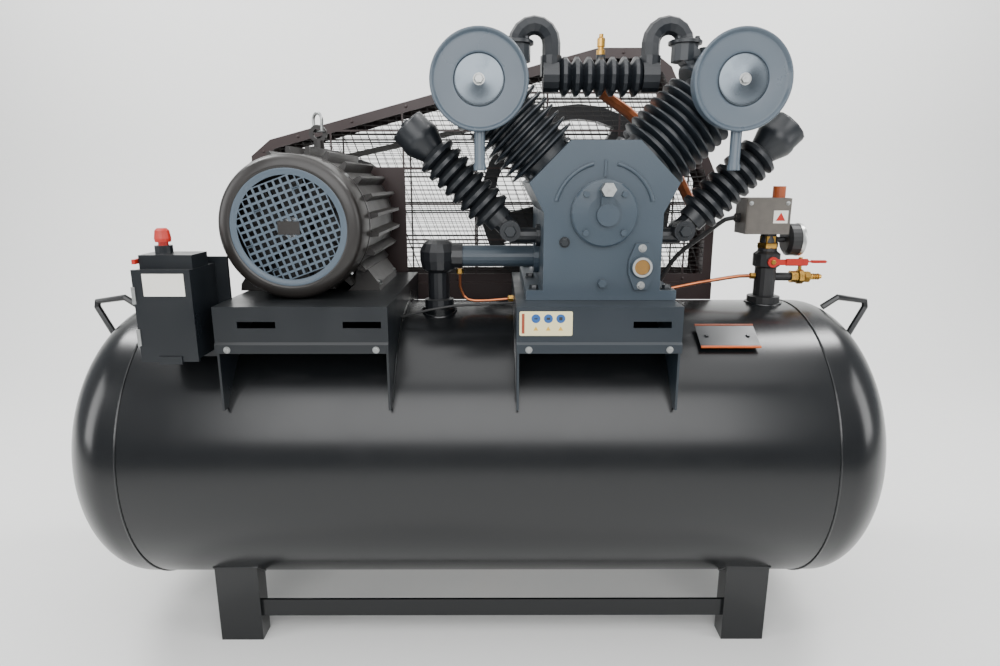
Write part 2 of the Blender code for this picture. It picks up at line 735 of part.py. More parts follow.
def sheave(name, at, radius, bore, web, finish):
    """A two-groove V-belt wheel about +Y, its spokes cut out when it is large."""
    half = RIM_WIDTH / 2
    groove = BELT_DEPTH + GROOVE_CLEARANCE
    profile = [(bore, -half), (radius, -half)]
    for index in (-1, 1):
        middle = index * BELT_PITCH / 2
        top = BELT_TOP / 2 + GAP
        foot = top - GROOVE_TAPER
        profile += [
            (radius, middle - top), (radius - groove, middle - foot),
            (radius - groove, middle + foot), (radius, middle + top),
        ]
    profile += [(radius, half), (bore, half)]
    wheel = turned(name, profile, finish, at=at, along=(0, 1, 0), steps=28 if web else 22)
    if web:
        inner = 0.30 * radius
        outer = radius - groove - WINDOW_RIM
        spread = math.pi / FLYWHEEL_WINDOWS
        for index in range(FLYWHEEL_WINDOWS):
            centre = 2 * spread * index
            arc = [centre + spread * share for share in (-0.72, -0.36, 0, 0.36, 0.72)]
            points = [(outer * math.sin(a), outer * math.cos(a)) for a in arc]
            near = [centre + spread * share for share in (0.45, -0.45)]
            points += [(inner * math.sin(a), inner * math.cos(a)) for a in near]
            opening = prism(f"{name}_window_{index}", points, -RIM_WIDTH, RIM_WIDTH, finish)
            opening.location = at
            cut(wheel, opening)


def belt_path(offset, steps=14):
    """The belt's closed XZ outline at a distance outside the two wheels' pitch."""
    small = Vector((MOTOR_X, MOTOR_Z))
    large = Vector((CRANK_X, CRANK_Z))
    between = large - small
    tilt = math.atan2(between.y, between.x)
    lean = math.asin((FLYWHEEL_RADIUS - MOTOR_PULLEY_RADIUS) / between.length)
    points = []
    for centre, radius, start, sweep in (
        (large, FLYWHEEL_RADIUS, tilt - math.pi / 2 - lean, math.pi + 2 * lean),
        (small, MOTOR_PULLEY_RADIUS, tilt + math.pi / 2 + lean, math.pi - 2 * lean),
    ):
        for step in range(steps + 1):
            angle = start + sweep * step / steps
            points.append(
                (
                    centre.x + (radius + offset) * math.cos(angle),
                    centre.y + (radius + offset) * math.sin(angle),
                )
            )
    return points


def belts():
    """Two V-belts, each one loop over both wheels."""
    for index in (0, 1):
        middle = DRIVE_Y + (index - 0.5) * BELT_PITCH
        half = BELT_TOP / 2 - BELT_SIDE_GAP
        prism(
            f"v_belt_{index + 1}", belt_path(BELT_PROUD), middle - half, middle + half, "rubber",
            hole=belt_path(BELT_PROUD - BELT_DEPTH),
        )


# ===================================================================== pump
def crankcase():
    """Cast case with a base flange, two sloping seats and a bored chamber."""
    low = BRACKET_TOP + GAP
    half_outline = [
        (BASE_FLANGE_HALF, low), (BASE_FLANGE_HALF, low + BASE_FLANGE), (CASE_HALF, low + BASE_FLANGE),
        (CASE_HALF, CRANK_Z), (CASE_SHOULDER, CRANK_Z + SEAT_RISE), (CASE_TOP_HALF, CRANK_Z + TOP_RISE),
    ]
    outline = [(CRANK_X + x, z) for x, z in half_outline]
    outline += [(CRANK_X - x, z) for x, z in reversed(half_outline)]
    case = prism("crankcase", outline, CASE_FRONT, CASE_REAR, "pump paint")
    length = CASE_REAR - CASE_FRONT
    rear_bore = JOURNAL_RADIUS + GAP
    chamber = turned(
        "crank_chamber",
        [
            (0, -10 * MM), (BEARING_BORE, -10 * MM), (BEARING_BORE, CHAMBER_WALL),
            (CHAMBER_RADIUS, CHAMBER_WALL),
            (CHAMBER_RADIUS, length - CHAMBER_WALL), (rear_bore, length - CHAMBER_WALL),
            (rear_bore, length + 10 * MM), (0, length + 10 * MM),
        ],
        "pump paint", at=(CRANK_X, CASE_FRONT, CRANK_Z), along=(0, 1, 0), steps=24,
    )
    cut(case, chamber)
    return case


def bearing_cover():
    """Front cover with its teardrop oil-feed boss."""
    back = COVER_THICK - GAP
    spigot = BEARING_BORE - SPIGOT_GAP
    bore = JOURNAL_RADIUS + GAP
    cover = turned(
        "crankcase_front_cover",
        [
            (0, 0), (JOURNAL_RADIUS + 6 * MM, 0), (COVER_RADIUS - 3 * MM, 2 * MM), (COVER_RADIUS, 5 * MM),
            (COVER_RADIUS, back), (spigot, back), (spigot, COVER_SPIGOT), (bore, COVER_SPIGOT),
            (bore, back - 2 * MM), (0, back - 2 * MM),
        ],
        "pump paint", at=(CRANK_X, CASE_FRONT - COVER_THICK, CRANK_Z), along=(0, 1, 0), steps=24,
    )
    boss_face = CASE_FRONT - COVER_THICK - COVER_BOSS_PROUD
    boss = rod(
        "cover_boss", COVER_BOSS_RADIUS, 20 * MM, "pump paint",
        at=(CRANK_X + 4 * MM, boss_face, CRANK_Z - 2 * MM), along=(0, 1, 0), steps=20,
    )
    neck = slab(
        "cover_neck", (CRANK_X - 9 * MM, boss_face + 2 * MM, CRANK_Z),
        (CRANK_X + 15 * MM, boss_face + 20 * MM, CRANK_Z + 46 * MM), "pump paint",
    )
    fuse(cover, boss, neck)
    for index in range(4):
        angle = math.radians(45 + 90 * index)
        x = CRANK_X + COVER_BOLT_CIRCLE * math.cos(angle)
        z = CRANK_Z + COVER_BOLT_CIRCLE * math.sin(angle)
        bolt = rod(
            f"cover_bolt_{index}", COVER_BOLT_RADIUS, 12 * MM, "bright steel",
            at=(x, CASE_FRONT - COVER_THICK - 5 * MM, z), along=(0, 1, 0), steps=6,
        )
        fuse(cover, bolt)


def crankshaft():
    """Two journals, three webs and two pins on one throw."""
    journal = JOURNAL_RADIUS - GAP
    start = CASE_FRONT + 2 * MM
    tail_start = CASE_REAR - 2 * CHAMBER_WALL
    shaft_end = DRIVE_Y + RIM_WIDTH / 2 + SHAFT_STUB
    shaft = rod(
        "crankshaft", journal, JOURNAL_LENGTH, "bright steel",
        at=(CRANK_X, start, CRANK_Z), along=(0, 1, 0), steps=20,
    )
    tail = rod(
        "crank_tail", journal, shaft_end - tail_start, "bright steel",
        at=(CRANK_X, tail_start, CRANK_Z), along=(0, 1, 0), steps=20,
    )
    fuse(shaft, tail)
    overlap = 2 * MM
    first = start + JOURNAL_LENGTH - overlap
    between = (FIRST_Y + SECOND_Y - WEB_THICK) / 2
    last = tail_start - WEB_THICK + overlap
    crown = CRANK_Z + CRANK_THROW + CRANK_PIN_RADIUS - overlap
    web = [
        (CRANK_X - WEB_TOP_HALF, crown), (CRANK_X + WEB_TOP_HALF, crown),
        (CRANK_X + WEB_WAIST_HALF, CRANK_Z - 20 * MM), (CRANK_X + WEB_FOOT_HALF, CRANK_Z - WEB_COUNTERWEIGHT),
        (CRANK_X - WEB_FOOT_HALF, CRANK_Z - WEB_COUNTERWEIGHT), (CRANK_X - WEB_WAIST_HALF, CRANK_Z - 20 * MM),
    ]
    for index, y in enumerate((first, between, last)):
        fuse(shaft, prism(f"crank_web_{index}", web, y, y + WEB_THICK, "bright steel"))
    for index, (near, far) in enumerate(((first, between), (between, last))):
        pin_start = near + WEB_THICK - overlap
        pin = rod(
            f"crank_pin_{index}", CRANK_PIN_RADIUS, far - pin_start + overlap, "bright steel",
            at=(CRANK_X, pin_start, CRANK_Z + CRANK_THROW), along=(0, 1, 0), steps=16,
        )
        fuse(shaft, pin)


def case_fittings(case):
    """Breather plug, oil sight glass on its plate, and the drain plug."""
    front = CASE_FRONT - GAP
    rod(
        "oil_breather_plug", BREATHER_RADIUS, BREATHER_PROUD, "aluminium",
        at=(CRANK_X, CASE_FRONT - COVER_THICK - COVER_BOSS_PROUD + 2 * MM - GAP, CRANK_Z + BREATHER_RISE),
        along=(0, -1, 0), steps=6,
    )
    sight_x = CRANK_X + SIGHT_OFFSET
    sight_z = CRANK_Z - SIGHT_DROP
    glass = turned(
        "oil_sight_glass",
        [
            (0, -12 * MM), (SIGHT_WINDOW, -12 * MM), (SIGHT_WINDOW, -15 * MM),
            (SIGHT_RADIUS - 2 * MM, -15 * MM),
            (SIGHT_RADIUS, -10 * MM), (SIGHT_RADIUS, 0), (0, 0),
        ],
        "aluminium", at=(sight_x, front, sight_z), along=(0, 1, 0), steps=20,
    )
    corners = (
        (-0.57, -2), (0.57, -2), (1.14, -0.57), (1.14, 0.57), (0.57, 2), (-0.57, 2), (-1.14, 0.57),
        (-1.14, -0.57),
    )
    plate = [(sight_x + x * SIGHT_RADIUS, sight_z + z * SIGHT_RADIUS) for x, z in corners]
    fuse(glass, prism("sight_flange", plate, front - 7 * MM, front, "pump paint"))
    plug = rod(
        "oil_drain_plug", 8 * MM, 16 * MM, "pump paint",
        at=(CRANK_X, front - 12 * MM, CRANK_Z - DRAIN_DROP), along=(0, 1, 0), steps=6,
    )
    fuse(case, plug)


def banks(case):
    """The two cylinder banks, each built upright under an empty leaned over by the bank angle."""
    seat = SEAT_DISTANCE + GAP
    for side, word in ((-1, "left"), (1, "right")):
        bank = bpy.data.objects.new(f"bank_{word}", None)
        bpy.context.scene.collection.objects.link(bank)
        bank.location = (CRANK_X, 0, CRANK_Z)
        bank.rotation_euler = (0, side * BANK_ANGLE, 0)
        for name, radius, y in (("first", FIRST_BORE, FIRST_Y), ("second", SECOND_BORE, SECOND_Y)):
            bore = rod(
                f"{name}_stage_bore_{word}", radius, SEAT_DISTANCE, "pump paint",
                at=(0, y, 0.4 * SEAT_DISTANCE), parent=bank, steps=24,
            )
            cut(case, bore)
        turned(
            f"first_stage_cylinder_{word}",
            finned(FIRST_BORE, FIRST_BARREL, FIRST_FIN, FIRST_LENGTH, FIRST_FIN_COUNT),
            "cast iron", at=(0, FIRST_Y, seat), parent=bank, steps=18,
        )
        first_stage_head(word, side, bank, seat + FIRST_LENGTH + GAP)
        skirt = FIRST_BORE - PISTON_CLEARANCE
        crown = 0.35 * STROKE
        turned(
            f"first_stage_piston_{word}",
            [
                (0, crown), (0.7 * FIRST_BORE, crown), (0.7 * FIRST_BORE, 0), (skirt, 0), (skirt, STROKE),
                (0, STROKE),
            ],
            "aluminium", at=(0, FIRST_Y, seat + FIRST_LENGTH - PISTON_TOP_GAP - STROKE), parent=bank,
            steps=18,
        )
        second_stage_cylinder(word, bank, seat)
        side_cooler(word, side, bank)
        intake_filter(word, side)


def second_stage_cylinder(word, bank, seat):
    """Smaller finned barrel, closed by its own head."""
    barrel = finned(SECOND_BORE, SECOND_BARREL, SECOND_FIN, SECOND_LENGTH, SECOND_FIN_COUNT)
    top = SECOND_LENGTH + SECOND_HEAD
    head = SECOND_BARREL + SECOND_HEAD_MARGIN
    closed = [(0, SECOND_LENGTH), (SECOND_BORE, SECOND_LENGTH), *barrel[:-2]]
    closed += [(head, SECOND_LENGTH), (head, top), (0, top)]
    turned(
        f"second_stage_cylinder_{word}", closed, "cast iron", at=(0, SECOND_Y, seat), parent=bank, steps=14,
    )


def bank_point(side, along, across):
    """(x, z) of a point in a bank: along its cylinders, and across towards the other bank."""
    lean = math.cos(BANK_ANGLE)
    return CRANK_X + side * (along - across) * lean, CRANK_Z + (along + across) * lean


def delivery_port(side):
    """(x, z) of the delivery port on the inner side of a head, where the bend stands."""
    return bank_point(side, SEAT_DISTANCE + FIRST_LENGTH + FIRST_HEAD / 2, PORT_OFFSET)


def first_stage_head(word, side, bank, foot):
    """Finned head drum with the flanged delivery port on its inner side."""
    flat = FIRST_HEAD_RADIUS
    root = flat - FIRST_HEAD_RIB
    profile = [(0, 0), (flat - 4 * MM, 0), (flat, 3 * MM)]
    for groove in (10 * MM, 28 * MM):
        profile += [
            (flat, groove), (root, groove + 3 * MM), (root, groove + 9 * MM), (flat, groove + 12 * MM),
        ]
    profile += [(flat - 2 * MM, FIRST_HEAD), (0, FIRST_HEAD)]
    head = turned(
        f"first_stage_head_{word}", profile, "cast iron", at=(0, FIRST_Y, foot), parent=bank, steps=18,
    )
    reach = sorted((-side * PORT_OFFSET, -side * 0.5 * flat))
    port = slab(
        f"first_stage_port_{word}", (reach[0], FIRST_Y - PORT_HALF, foot + 8 * MM),
        (reach[1], FIRST_Y + PORT_HALF, foot + FIRST_HEAD - 12 * MM), "cast iron", parent=bank,
    )
    x, z = delivery_port(side)
    flange = rod(
        f"first_stage_port_flange_{word}", PORT_FLANGE, PORT_FLANGE_TOP + 18 * MM, "cast iron",
        at=(x, FIRST_Y, z - 18 * MM), along=(0, 0, 1), steps=12,
    )
    fuse(head, port, flange)


def intercooler():
    """Finned header between the banks, with a return bend from each head."""
    end = 2 * INTERCOOLER_HALF
    block = INTERCOOLER_BLOCK
    pitch = (end - 2 * block) / INTERCOOLER_FIN_COUNT
    profile = [(0, 0), (INTERCOOLER_BLOCK_RADIUS, 0), (INTERCOOLER_BLOCK_RADIUS, block - MM)]
    for index in range(INTERCOOLER_FIN_COUNT):
        foot = block + index * pitch
        profile += [
            (INTERCOOLER_RADIUS, foot), (INTERCOOLER_FIN, foot + 0.3 * pitch),
            (INTERCOOLER_FIN, foot + 0.6 * pitch),
        ]
    profile += [(INTERCOOLER_RADIUS, end - block), (INTERCOOLER_BLOCK_RADIUS, end - block)]
    profile += [(INTERCOOLER_BLOCK_RADIUS, end), (0, end)]
    header = turned(
        "intercooler", profile, "cast iron",
        at=(CRANK_X - INTERCOOLER_HALF, FIRST_Y, INTERCOOLER_Z), along=(1, 0, 0), steps=14,
    )
    port_top = INTERCOOLER_Z + INTERCOOLER_PORT_RISE
    for side, word in ((-1, "left"), (1, "right")):
        outer, height = delivery_port(side)
        inner = CRANK_X + side * (INTERCOOLER_HALF - block / 2)
        port = rod(
            f"intercooler_port_{word}", BEND_TUBE + 3 * MM, INTERCOOLER_PORT_RISE, "cast iron",
            at=(inner, FIRST_Y, INTERCOOLER_Z), along=(0, 0, 1), steps=12,
        )
        fuse(header, port)
        middle = (outer + inner) / 2
        reach = (outer - inner) / 2
        flange_top = height + PORT_FLANGE_TOP
        spring = max(flange_top, port_top) + 2 * MM
        points = [(outer, FIRST_Y, flange_top + GAP)]
        for step in range(9):
            angle = math.pi * step / 8
            points.append((middle + reach * math.cos(angle), FIRST_Y, spring + abs(reach) * math.sin(angle)))
        points.append((inner, FIRST_Y, port_top + GAP))
        bent_tube(f"intercooler_bend_{word}", points, BEND_TUBE, "cast iron")
    back_port = rod(
        "interstage_back_port", 18 * MM, INTERCOOLER_BACK_PORT, "cast iron",
        at=(CRANK_X, FIRST_Y, INTERCOOLER_Z), along=(0, 1, 0), steps=12,
    )
    boss = rod(
        "safety_valve_boss", 9 * MM, SAFETY_BOSS_RISE, "cast iron",
        at=(CRANK_X, FIRST_Y, INTERCOOLER_Z), along=(0, 0, 1), steps=12,
    )
    fuse(header, back_port, boss)
    turned(
        "intercooler_safety_valve",
        [
            (0, 0), (8 * MM, 0), (8 * MM, 8 * MM), (5.5 * MM, 9 * MM), (5.5 * MM, 13 * MM),
            (7.5 * MM, 14 * MM),
            (7.5 * MM, 28 * MM), (4 * MM, 31 * MM), (4 * MM, 36 * MM), (0, 36 * MM),
        ],
        "brass", at=(CRANK_X, FIRST_Y, INTERCOOLER_Z + SAFETY_BOSS_RISE + GAP), along=(0, 0, 1), steps=12,
    )


def side_cooler(word, side, bank):
    """Finned delivery cooler beside the bank, bolted to the crankcase flank by its outlet duct."""
    length = SIDE_COOLER_END - SIDE_COOLER_START
    shift = 0.10 * length
    cap = SIDE_COOLER_FIN - 4 * MM
    fins = finned(0.0, SIDE_COOLER_CORE, SIDE_COOLER_FIN, 0.8 * length, SIDE_COOLER_FIN_COUNT)
    profile = [(0, shift), *[(radius, height + shift) for radius, height in fins[1:-1]]]
    profile += [(cap, 0.82 * length + shift), (cap, length + shift), (0, length + shift)]
    cooler = turned(
        f"side_cooler_{word}", profile, "cast iron",
        at=(side * SIDE_COOLER_OFFSET, FIRST_Y, SIDE_COOLER_START), parent=bank, steps=12,
    )
    boss_x, boss_z = bank_point(side, SIDE_COOLER_START, -SIDE_COOLER_OFFSET)
    boss = rod(
        f"cooler_boss_{word}", COOLER_BOSS_RADIUS, 56 * MM, "cast iron",
        at=(boss_x, FIRST_Y - 36 * MM, boss_z), along=(0, 1, 0), steps=16,
    )
    foot = rod(
        f"cooler_foot_{word}", COOLER_BOSS_RADIUS, 40 * MM, "cast iron",
        at=(side * SIDE_COOLER_OFFSET, FIRST_Y, SIDE_COOLER_START - 8 * MM), parent=bank, steps=12,
    )
    flank = CRANK_X + side * (CASE_HALF + GAP)
    duct_z = boss_z - COOLER_DUCT_DROP
    duct = rod(
        f"cooler_duct_{word}", COOLER_DUCT_RADIUS, abs(boss_x - flank), "cast iron",
        at=(flank, FIRST_Y, duct_z), along=(side, 0, 0), steps=12,
    )
    duct_flange = rod(
        f"cooler_duct_flange_{word}", COOLER_DUCT_RADIUS + 7 * MM, 8 * MM, "cast iron",
        at=(flank, FIRST_Y, duct_z), along=(side, 0, 0), steps=12,
    )
    fuse(cooler, boss, foot, duct, duct_flange)
    if side > 0:
        port_x, port_z = interstage_port()
        port_boss = rod(
            "interstage_port_boss", INTERSTAGE_TUBE + 5 * MM, INTERSTAGE_BOSS, "cast iron",
            at=(port_x, FIRST_Y, port_z), along=(0, 1, 0), steps=12,
        )
        fuse(cooler, port_boss)


def interstage_port():
    """(x, z) where the interstage pipe enters the right cooler."""
    return bank_point(1, SIDE_COOLER_START + INTERSTAGE_RISE, -SIDE_COOLER_OFFSET)


def interstage_pipe():
    """Copper pipe from the intercooler, between the two cylinders of the right bank, to the cooler."""
    port_x, port_z = interstage_port()
    middle = (FIRST_Y + FIRST_FIN + SECOND_Y - SECOND_FIN) / 2
    points = [
        (CRANK_X, FIRST_Y + INTERCOOLER_BACK_PORT + TUBE_GAP, INTERCOOLER_Z),
        (CRANK_X, middle - 2 * INTERSTAGE_TUBE, INTERCOOLER_Z),
        (CRANK_X + 26 * MM, middle, INTERCOOLER_Z - 22 * MM),
        (CRANK_X + 98 * MM, middle, CRANK_Z + 172 * MM),
        (CRANK_X + 172 * MM, middle, CRANK_Z + 80 * MM),
        (port_x - 5 * MM, middle, port_z + 16 * MM),
        (port_x, middle - 20 * MM, port_z),
        (port_x, FIRST_Y + INTERSTAGE_BOSS + TUBE_GAP, port_z),
    ]
    bent_tube("interstage_pipe", flowing(points), INTERSTAGE_TUBE, "copper")


def intake_filter(word, side):
    """Round intake silencer on the front of a head, its cone cover held by one nut."""
    x, z = bank_point(side, SEAT_DISTANCE + FIRST_LENGTH + FIRST_HEAD / 2, 0)
    back = FIRST_Y - FIRST_HEAD_RADIUS - 2 * GAP
    rim = FILTER_RADIUS
    drum = rim - 3 * MM
    depth = FILTER_DEPTH
    body = turned(
        f"intake_filter_{word}",
        [
            (0, 0), (FILTER_NECK, 0), (FILTER_NECK, 12 * MM), (rim - 16 * MM, 14 * MM), (drum, 20 * MM),
            (drum, depth - 8 * MM), (rim, depth - 7 * MM), (rim, depth - 1 * MM), (drum, depth),
            (rim - 6 * MM, depth - 3 * MM), (0.50 * rim, depth - 4 * MM), (0.44 * rim, depth - 6 * MM),
            (FILTER_NUT, depth + 5 * MM), (FILTER_NUT, depth + 11 * MM), (0, depth + 11 * MM),
        ],
        "pump paint", at=(x, back, z), along=(0, -1, 0), steps=20,
    )
    stem = rod(
        f"filter_stem_{word}", FILTER_STEM_RADIUS, FILTER_STEM - 40 * MM, "pump paint",
        at=(x, back - 36 * MM, z - FILTER_STEM), along=(0, 0, 1), steps=12,
    )
    fuse(body, stem)


# ================================================================ discharge
def discharge_line(shell):
    """Cast pipe from the crankcase flank to the check valve, which stands on a boss of the shell."""
    flank = CRANK_X - CASE_HALF - GAP
    valve_edge = CHECK_VALVE_X + CHECK_VALVE_RADIUS + CHECK_VALVE_NUT
    pipe = rod(
        "discharge_pipe", DISCHARGE_TUBE, flank - valve_edge - GAP, "cast iron",
        at=(flank, DISCHARGE_Y, DISCHARGE_Z), along=(-1, 0, 0), steps=20,
    )
    flange = rod(
        "discharge_flange", DISCHARGE_FLANGE, 10 * MM, "cast iron",
        at=(flank, DISCHARGE_Y, DISCHARGE_Z), along=(-1, 0, 0), steps=20,
    )
    fuse(pipe, flange)
    foot = tank_surface(DISCHARGE_Y) + BOSS_HEIGHT
    rise = DISCHARGE_Z - foot
    tube = CHECK_VALVE_TUBE
    body = CHECK_VALVE_RADIUS
    valve = turned(
        "check_valve",
        [
            (0, 0), (tube + 8 * MM, 0), (tube + 8 * MM, 16 * MM), (tube, 18 * MM), (tube, rise - 34 * MM),
            (body - 4 * MM, rise - 26 * MM), (body, rise - 8 * MM), (body, rise + 10 * MM),
            (body - 8 * MM, rise + 26 * MM), (20 * MM, rise + 33 * MM), (0, rise + 34 * MM),
        ],
        "cast iron", at=(CHECK_VALVE_X, DISCHARGE_Y, foot + GAP), along=(0, 0, 1), steps=16,
    )
    nut = rod(
        "check_valve_nut", DISCHARGE_TUBE + 4 * MM, body + CHECK_VALVE_NUT, "brass",
        at=(CHECK_VALVE_X, DISCHARGE_Y, DISCHARGE_Z), along=(1, 0, 0), steps=12,
    )
    fuse(valve, nut)
    boss_foot = TANK_AXIS_HEIGHT + TANK_RADIUS - 1.5 * TANK_WALL
    boss = rod(
        "tank_inlet_boss", tube + BOSS_MARGIN, foot - boss_foot, "tank paint",
        at=(CHECK_VALVE_X, DISCHARGE_Y, boss_foot), along=(0, 0, 1), steps=20,
    )
    fuse(shell, boss)


def small_tubes():
    """Unloader and control lines and the switch's cable, each held at both ends."""
    left_side = PUMP_BRACKET_X[0] - TUBE_GAP
    right_side = PUMP_BRACKET_X[1] + TUBE_GAP
    nut_x = CHECK_VALVE_X + CHECK_VALVE_RADIUS
    nut_low = DISCHARGE_Z - DISCHARGE_TUBE - 4 * MM - TUBE_GAP
    unloader = [
        (nut_x + 6 * MM, DISCHARGE_Y, nut_low),
        (nut_x + 6 * MM, DISCHARGE_Y, nut_low - 36 * MM),
        (nut_x + 22 * MM, DISCHARGE_Y, 707 * MM),
        (20 * MM, DISCHARGE_Y, 705 * MM),
        (left_side, DISCHARGE_Y, 709 * MM),
    ]
    bent_tube("unloader_tube", flowing(unloader), UNLOADER_TUBE, "copper")
    control = [
        (RISER_X - RISER_RADIUS - TUBE_GAP, 0, 748 * MM),
        (560 * MM, 0, 747 * MM),
        (470 * MM, 0, 732 * MM),
        (400 * MM, 0, 718 * MM),
        (right_side, 0, 716 * MM),
    ]
    bent_tube("control_tube", flowing(control), CONTROL_TUBE, "copper")
    cable = [
        (SWITCH_LEFT - SWITCH_GLAND - TUBE_GAP, CABLE_Y, CABLE_Z),
        (524 * MM, CABLE_Y, 868 * MM),
        (480 * MM, 14 * MM, 834 * MM),
        (428 * MM, 20 * MM, 790 * MM),
        (400 * MM, 24 * MM, 744 * MM),
        (384 * MM, 26 * MM, 712 * MM),
        (right_side, 26 * MM, 708 * MM),
    ]
    bent_tube("switch_cable", flowing(cable), CABLE_RADIUS, "rubber")


# =============================================================== belt guard
def guard_outline():
    """XZ outline of the guard, anticlockwise from its lower left corner."""
    left = MOTOR_X - MOTOR_PULLEY_RADIUS - GUARD_LEFT_MARGIN
    right = CRANK_X + FLYWHEEL_RADIUS + GUARD_RIGHT_MARGIN
    peak = CRANK_Z + FLYWHEEL_RADIUS + GUARD_TOP_MARGIN
    return [
        (left, GUARD_BASE), (right, GUARD_BASE), (right, CRANK_Z + 60 * MM),
        (CRANK_X + 205 * MM, peak - 40 * MM), (CRANK_X + 150 * MM, peak), (CRANK_X + 38 * MM, peak),
        (left + 46 * MM, MOTOR_Z + 176 * MM), (left, MOTOR_Z + 139 * MM),
    ]


def inset_outline(outline, distance):
    """The same outline moved inwards, corner by corner."""
    moved = []
    count = len(outline)
    for index in range(count):
        here = Vector(outline[index])
        into = (here - Vector(outline[index - 1])).normalized()
        out = (Vector(outline[(index + 1) % count]) - here).normalized()
        first = Vector((-into.y, into.x))
        second = Vector((-out.y, out.x))
        mitre = (first + second).normalized()
        moved.append(tuple(here + mitre * distance / mitre.dot(first)))
    return moved


def clipped(polygon, outline):
    """The part of a polygon inside a convex anticlockwise outline."""
    for start, end in zip(outline, outline[1:] + outline[:1]):
        a = Vector(start)
        edge = Vector(end) - a
        kept = []
        for here, after in zip(polygon, polygon[1:] + polygon[:1]):
            p = Vector(here)
            q = Vector(after)
            inside = edge.cross(p - a)
            beyond = edge.cross(q - a)
            if inside >= 0:
                kept.append(tuple(p))
            if inside * beyond < 0:
                kept.append(tuple(p.lerp(q, inside / (inside - beyond))))
        polygon = kept
    return polygon


def polygon_area(polygon):
    """Area inside an anticlockwise outline."""
    return sum(Vector(a).cross(Vector(b)) for a, b in zip(polygon, polygon[1:] + polygon[:1])) / 2


def guard_panel(name, start, end, holes):
    """Flat frame with a wide grid; holes are round openings for the shafts."""
    outline = guard_outline()
    panel = prism(name, outline, start, end, "oxide paint")
    inner = inset_outline(outline, GUARD_FRAME)
    left = min(x for x, z in inner)
    right = max(x for x, z in inner)
    low = min(z for x, z in inner)
    high = max(z for x, z in inner)
    cells = []
    z = low
    while z < high:
        x = left
        while x < right:
            cell = [
                (x, z), (x + GUARD_CELL_WIDE - GUARD_BAR, z),
                (x + GUARD_CELL_WIDE - GUARD_BAR, z + GUARD_CELL - GUARD_BAR),
                (x, z + GUARD_CELL - GUARD_BAR),
            ]
            near = []
            for hx, hz, radius in holes:
                gap_x = max(x - hx, 0, hx - x - GUARD_CELL_WIDE)
                gap_z = max(z - hz, 0, hz - z - GUARD_CELL)
                near.append(math.hypot(gap_x, gap_z) - radius)
            cell = clipped(cell, inner)
            clear = not near or min(near) > SHAFT_PLATE_MARGIN
            if clear and len(cell) > 2 and polygon_area(cell) > SMALLEST_CELL:
                cells.append(cell)
            x += GUARD_CELL_WIDE
        z += GUARD_CELL
    cut(panel, punch(f"{name}_punch", cells, start - 5 * MM, end + 5 * MM))
    for number, (x, z, radius) in enumerate(holes):
        opening = rod(
            f"{name}_opening_{number}", radius, 3 * (end - start), "oxide paint",
            at=(x, 2 * start - end, z), along=(0, 1, 0), steps=20,
        )
        cut(panel, opening)
    return panel


def belt_guard():
    """Front panel on its beam, and rear panel with the rim that closes the cage."""
    holes = [
        (MOTOR_X, MOTOR_Z, SHAFT_RADIUS + SHAFT_CLEARANCE),
        (CRANK_X, CRANK_Z, JOURNAL_RADIUS + SHAFT_CLEARANCE),
    ]
    front = guard_panel("belt_guard_front", GUARD_FRONT, GUARD_FRONT + GUARD_SHEET, holes)
    rear = guard_panel("belt_guard_rear", GUARD_REAR - GUARD_SHEET, GUARD_REAR, [])
    outline = guard_outline()
    inner = inset_outline(outline, GUARD_SHEET)
    strip = [*outline[1:], outline[0], inner[0], *reversed(inner[1:])]
    rim = prism(
        "guard_rim", strip, GUARD_FRONT + GUARD_SHEET + GAP, GUARD_REAR - GUARD_SHEET / 2, "oxide paint",
    )
    fuse(rear, rim)
    left = outline[0][0]
    right = outline[1][0]
    web = slab(
        "guard_beam_web", (left, BRACKET_REAR + GAP, GUARD_BASE - GUARD_BEAM),
        (right, BRACKET_REAR + 5 * MM, GUARD_BASE), "oxide paint",
    )
    shelf = slab(
        "guard_beam_shelf", (left + MM, BRACKET_REAR + 2 * MM, GUARD_BASE - 5 * MM),
        (right - MM, GUARD_FRONT + GUARD_SHEET / 2, GUARD_BASE + GUARD_SHEET), "oxide paint",
    )
    fuse(front, web, shelf)


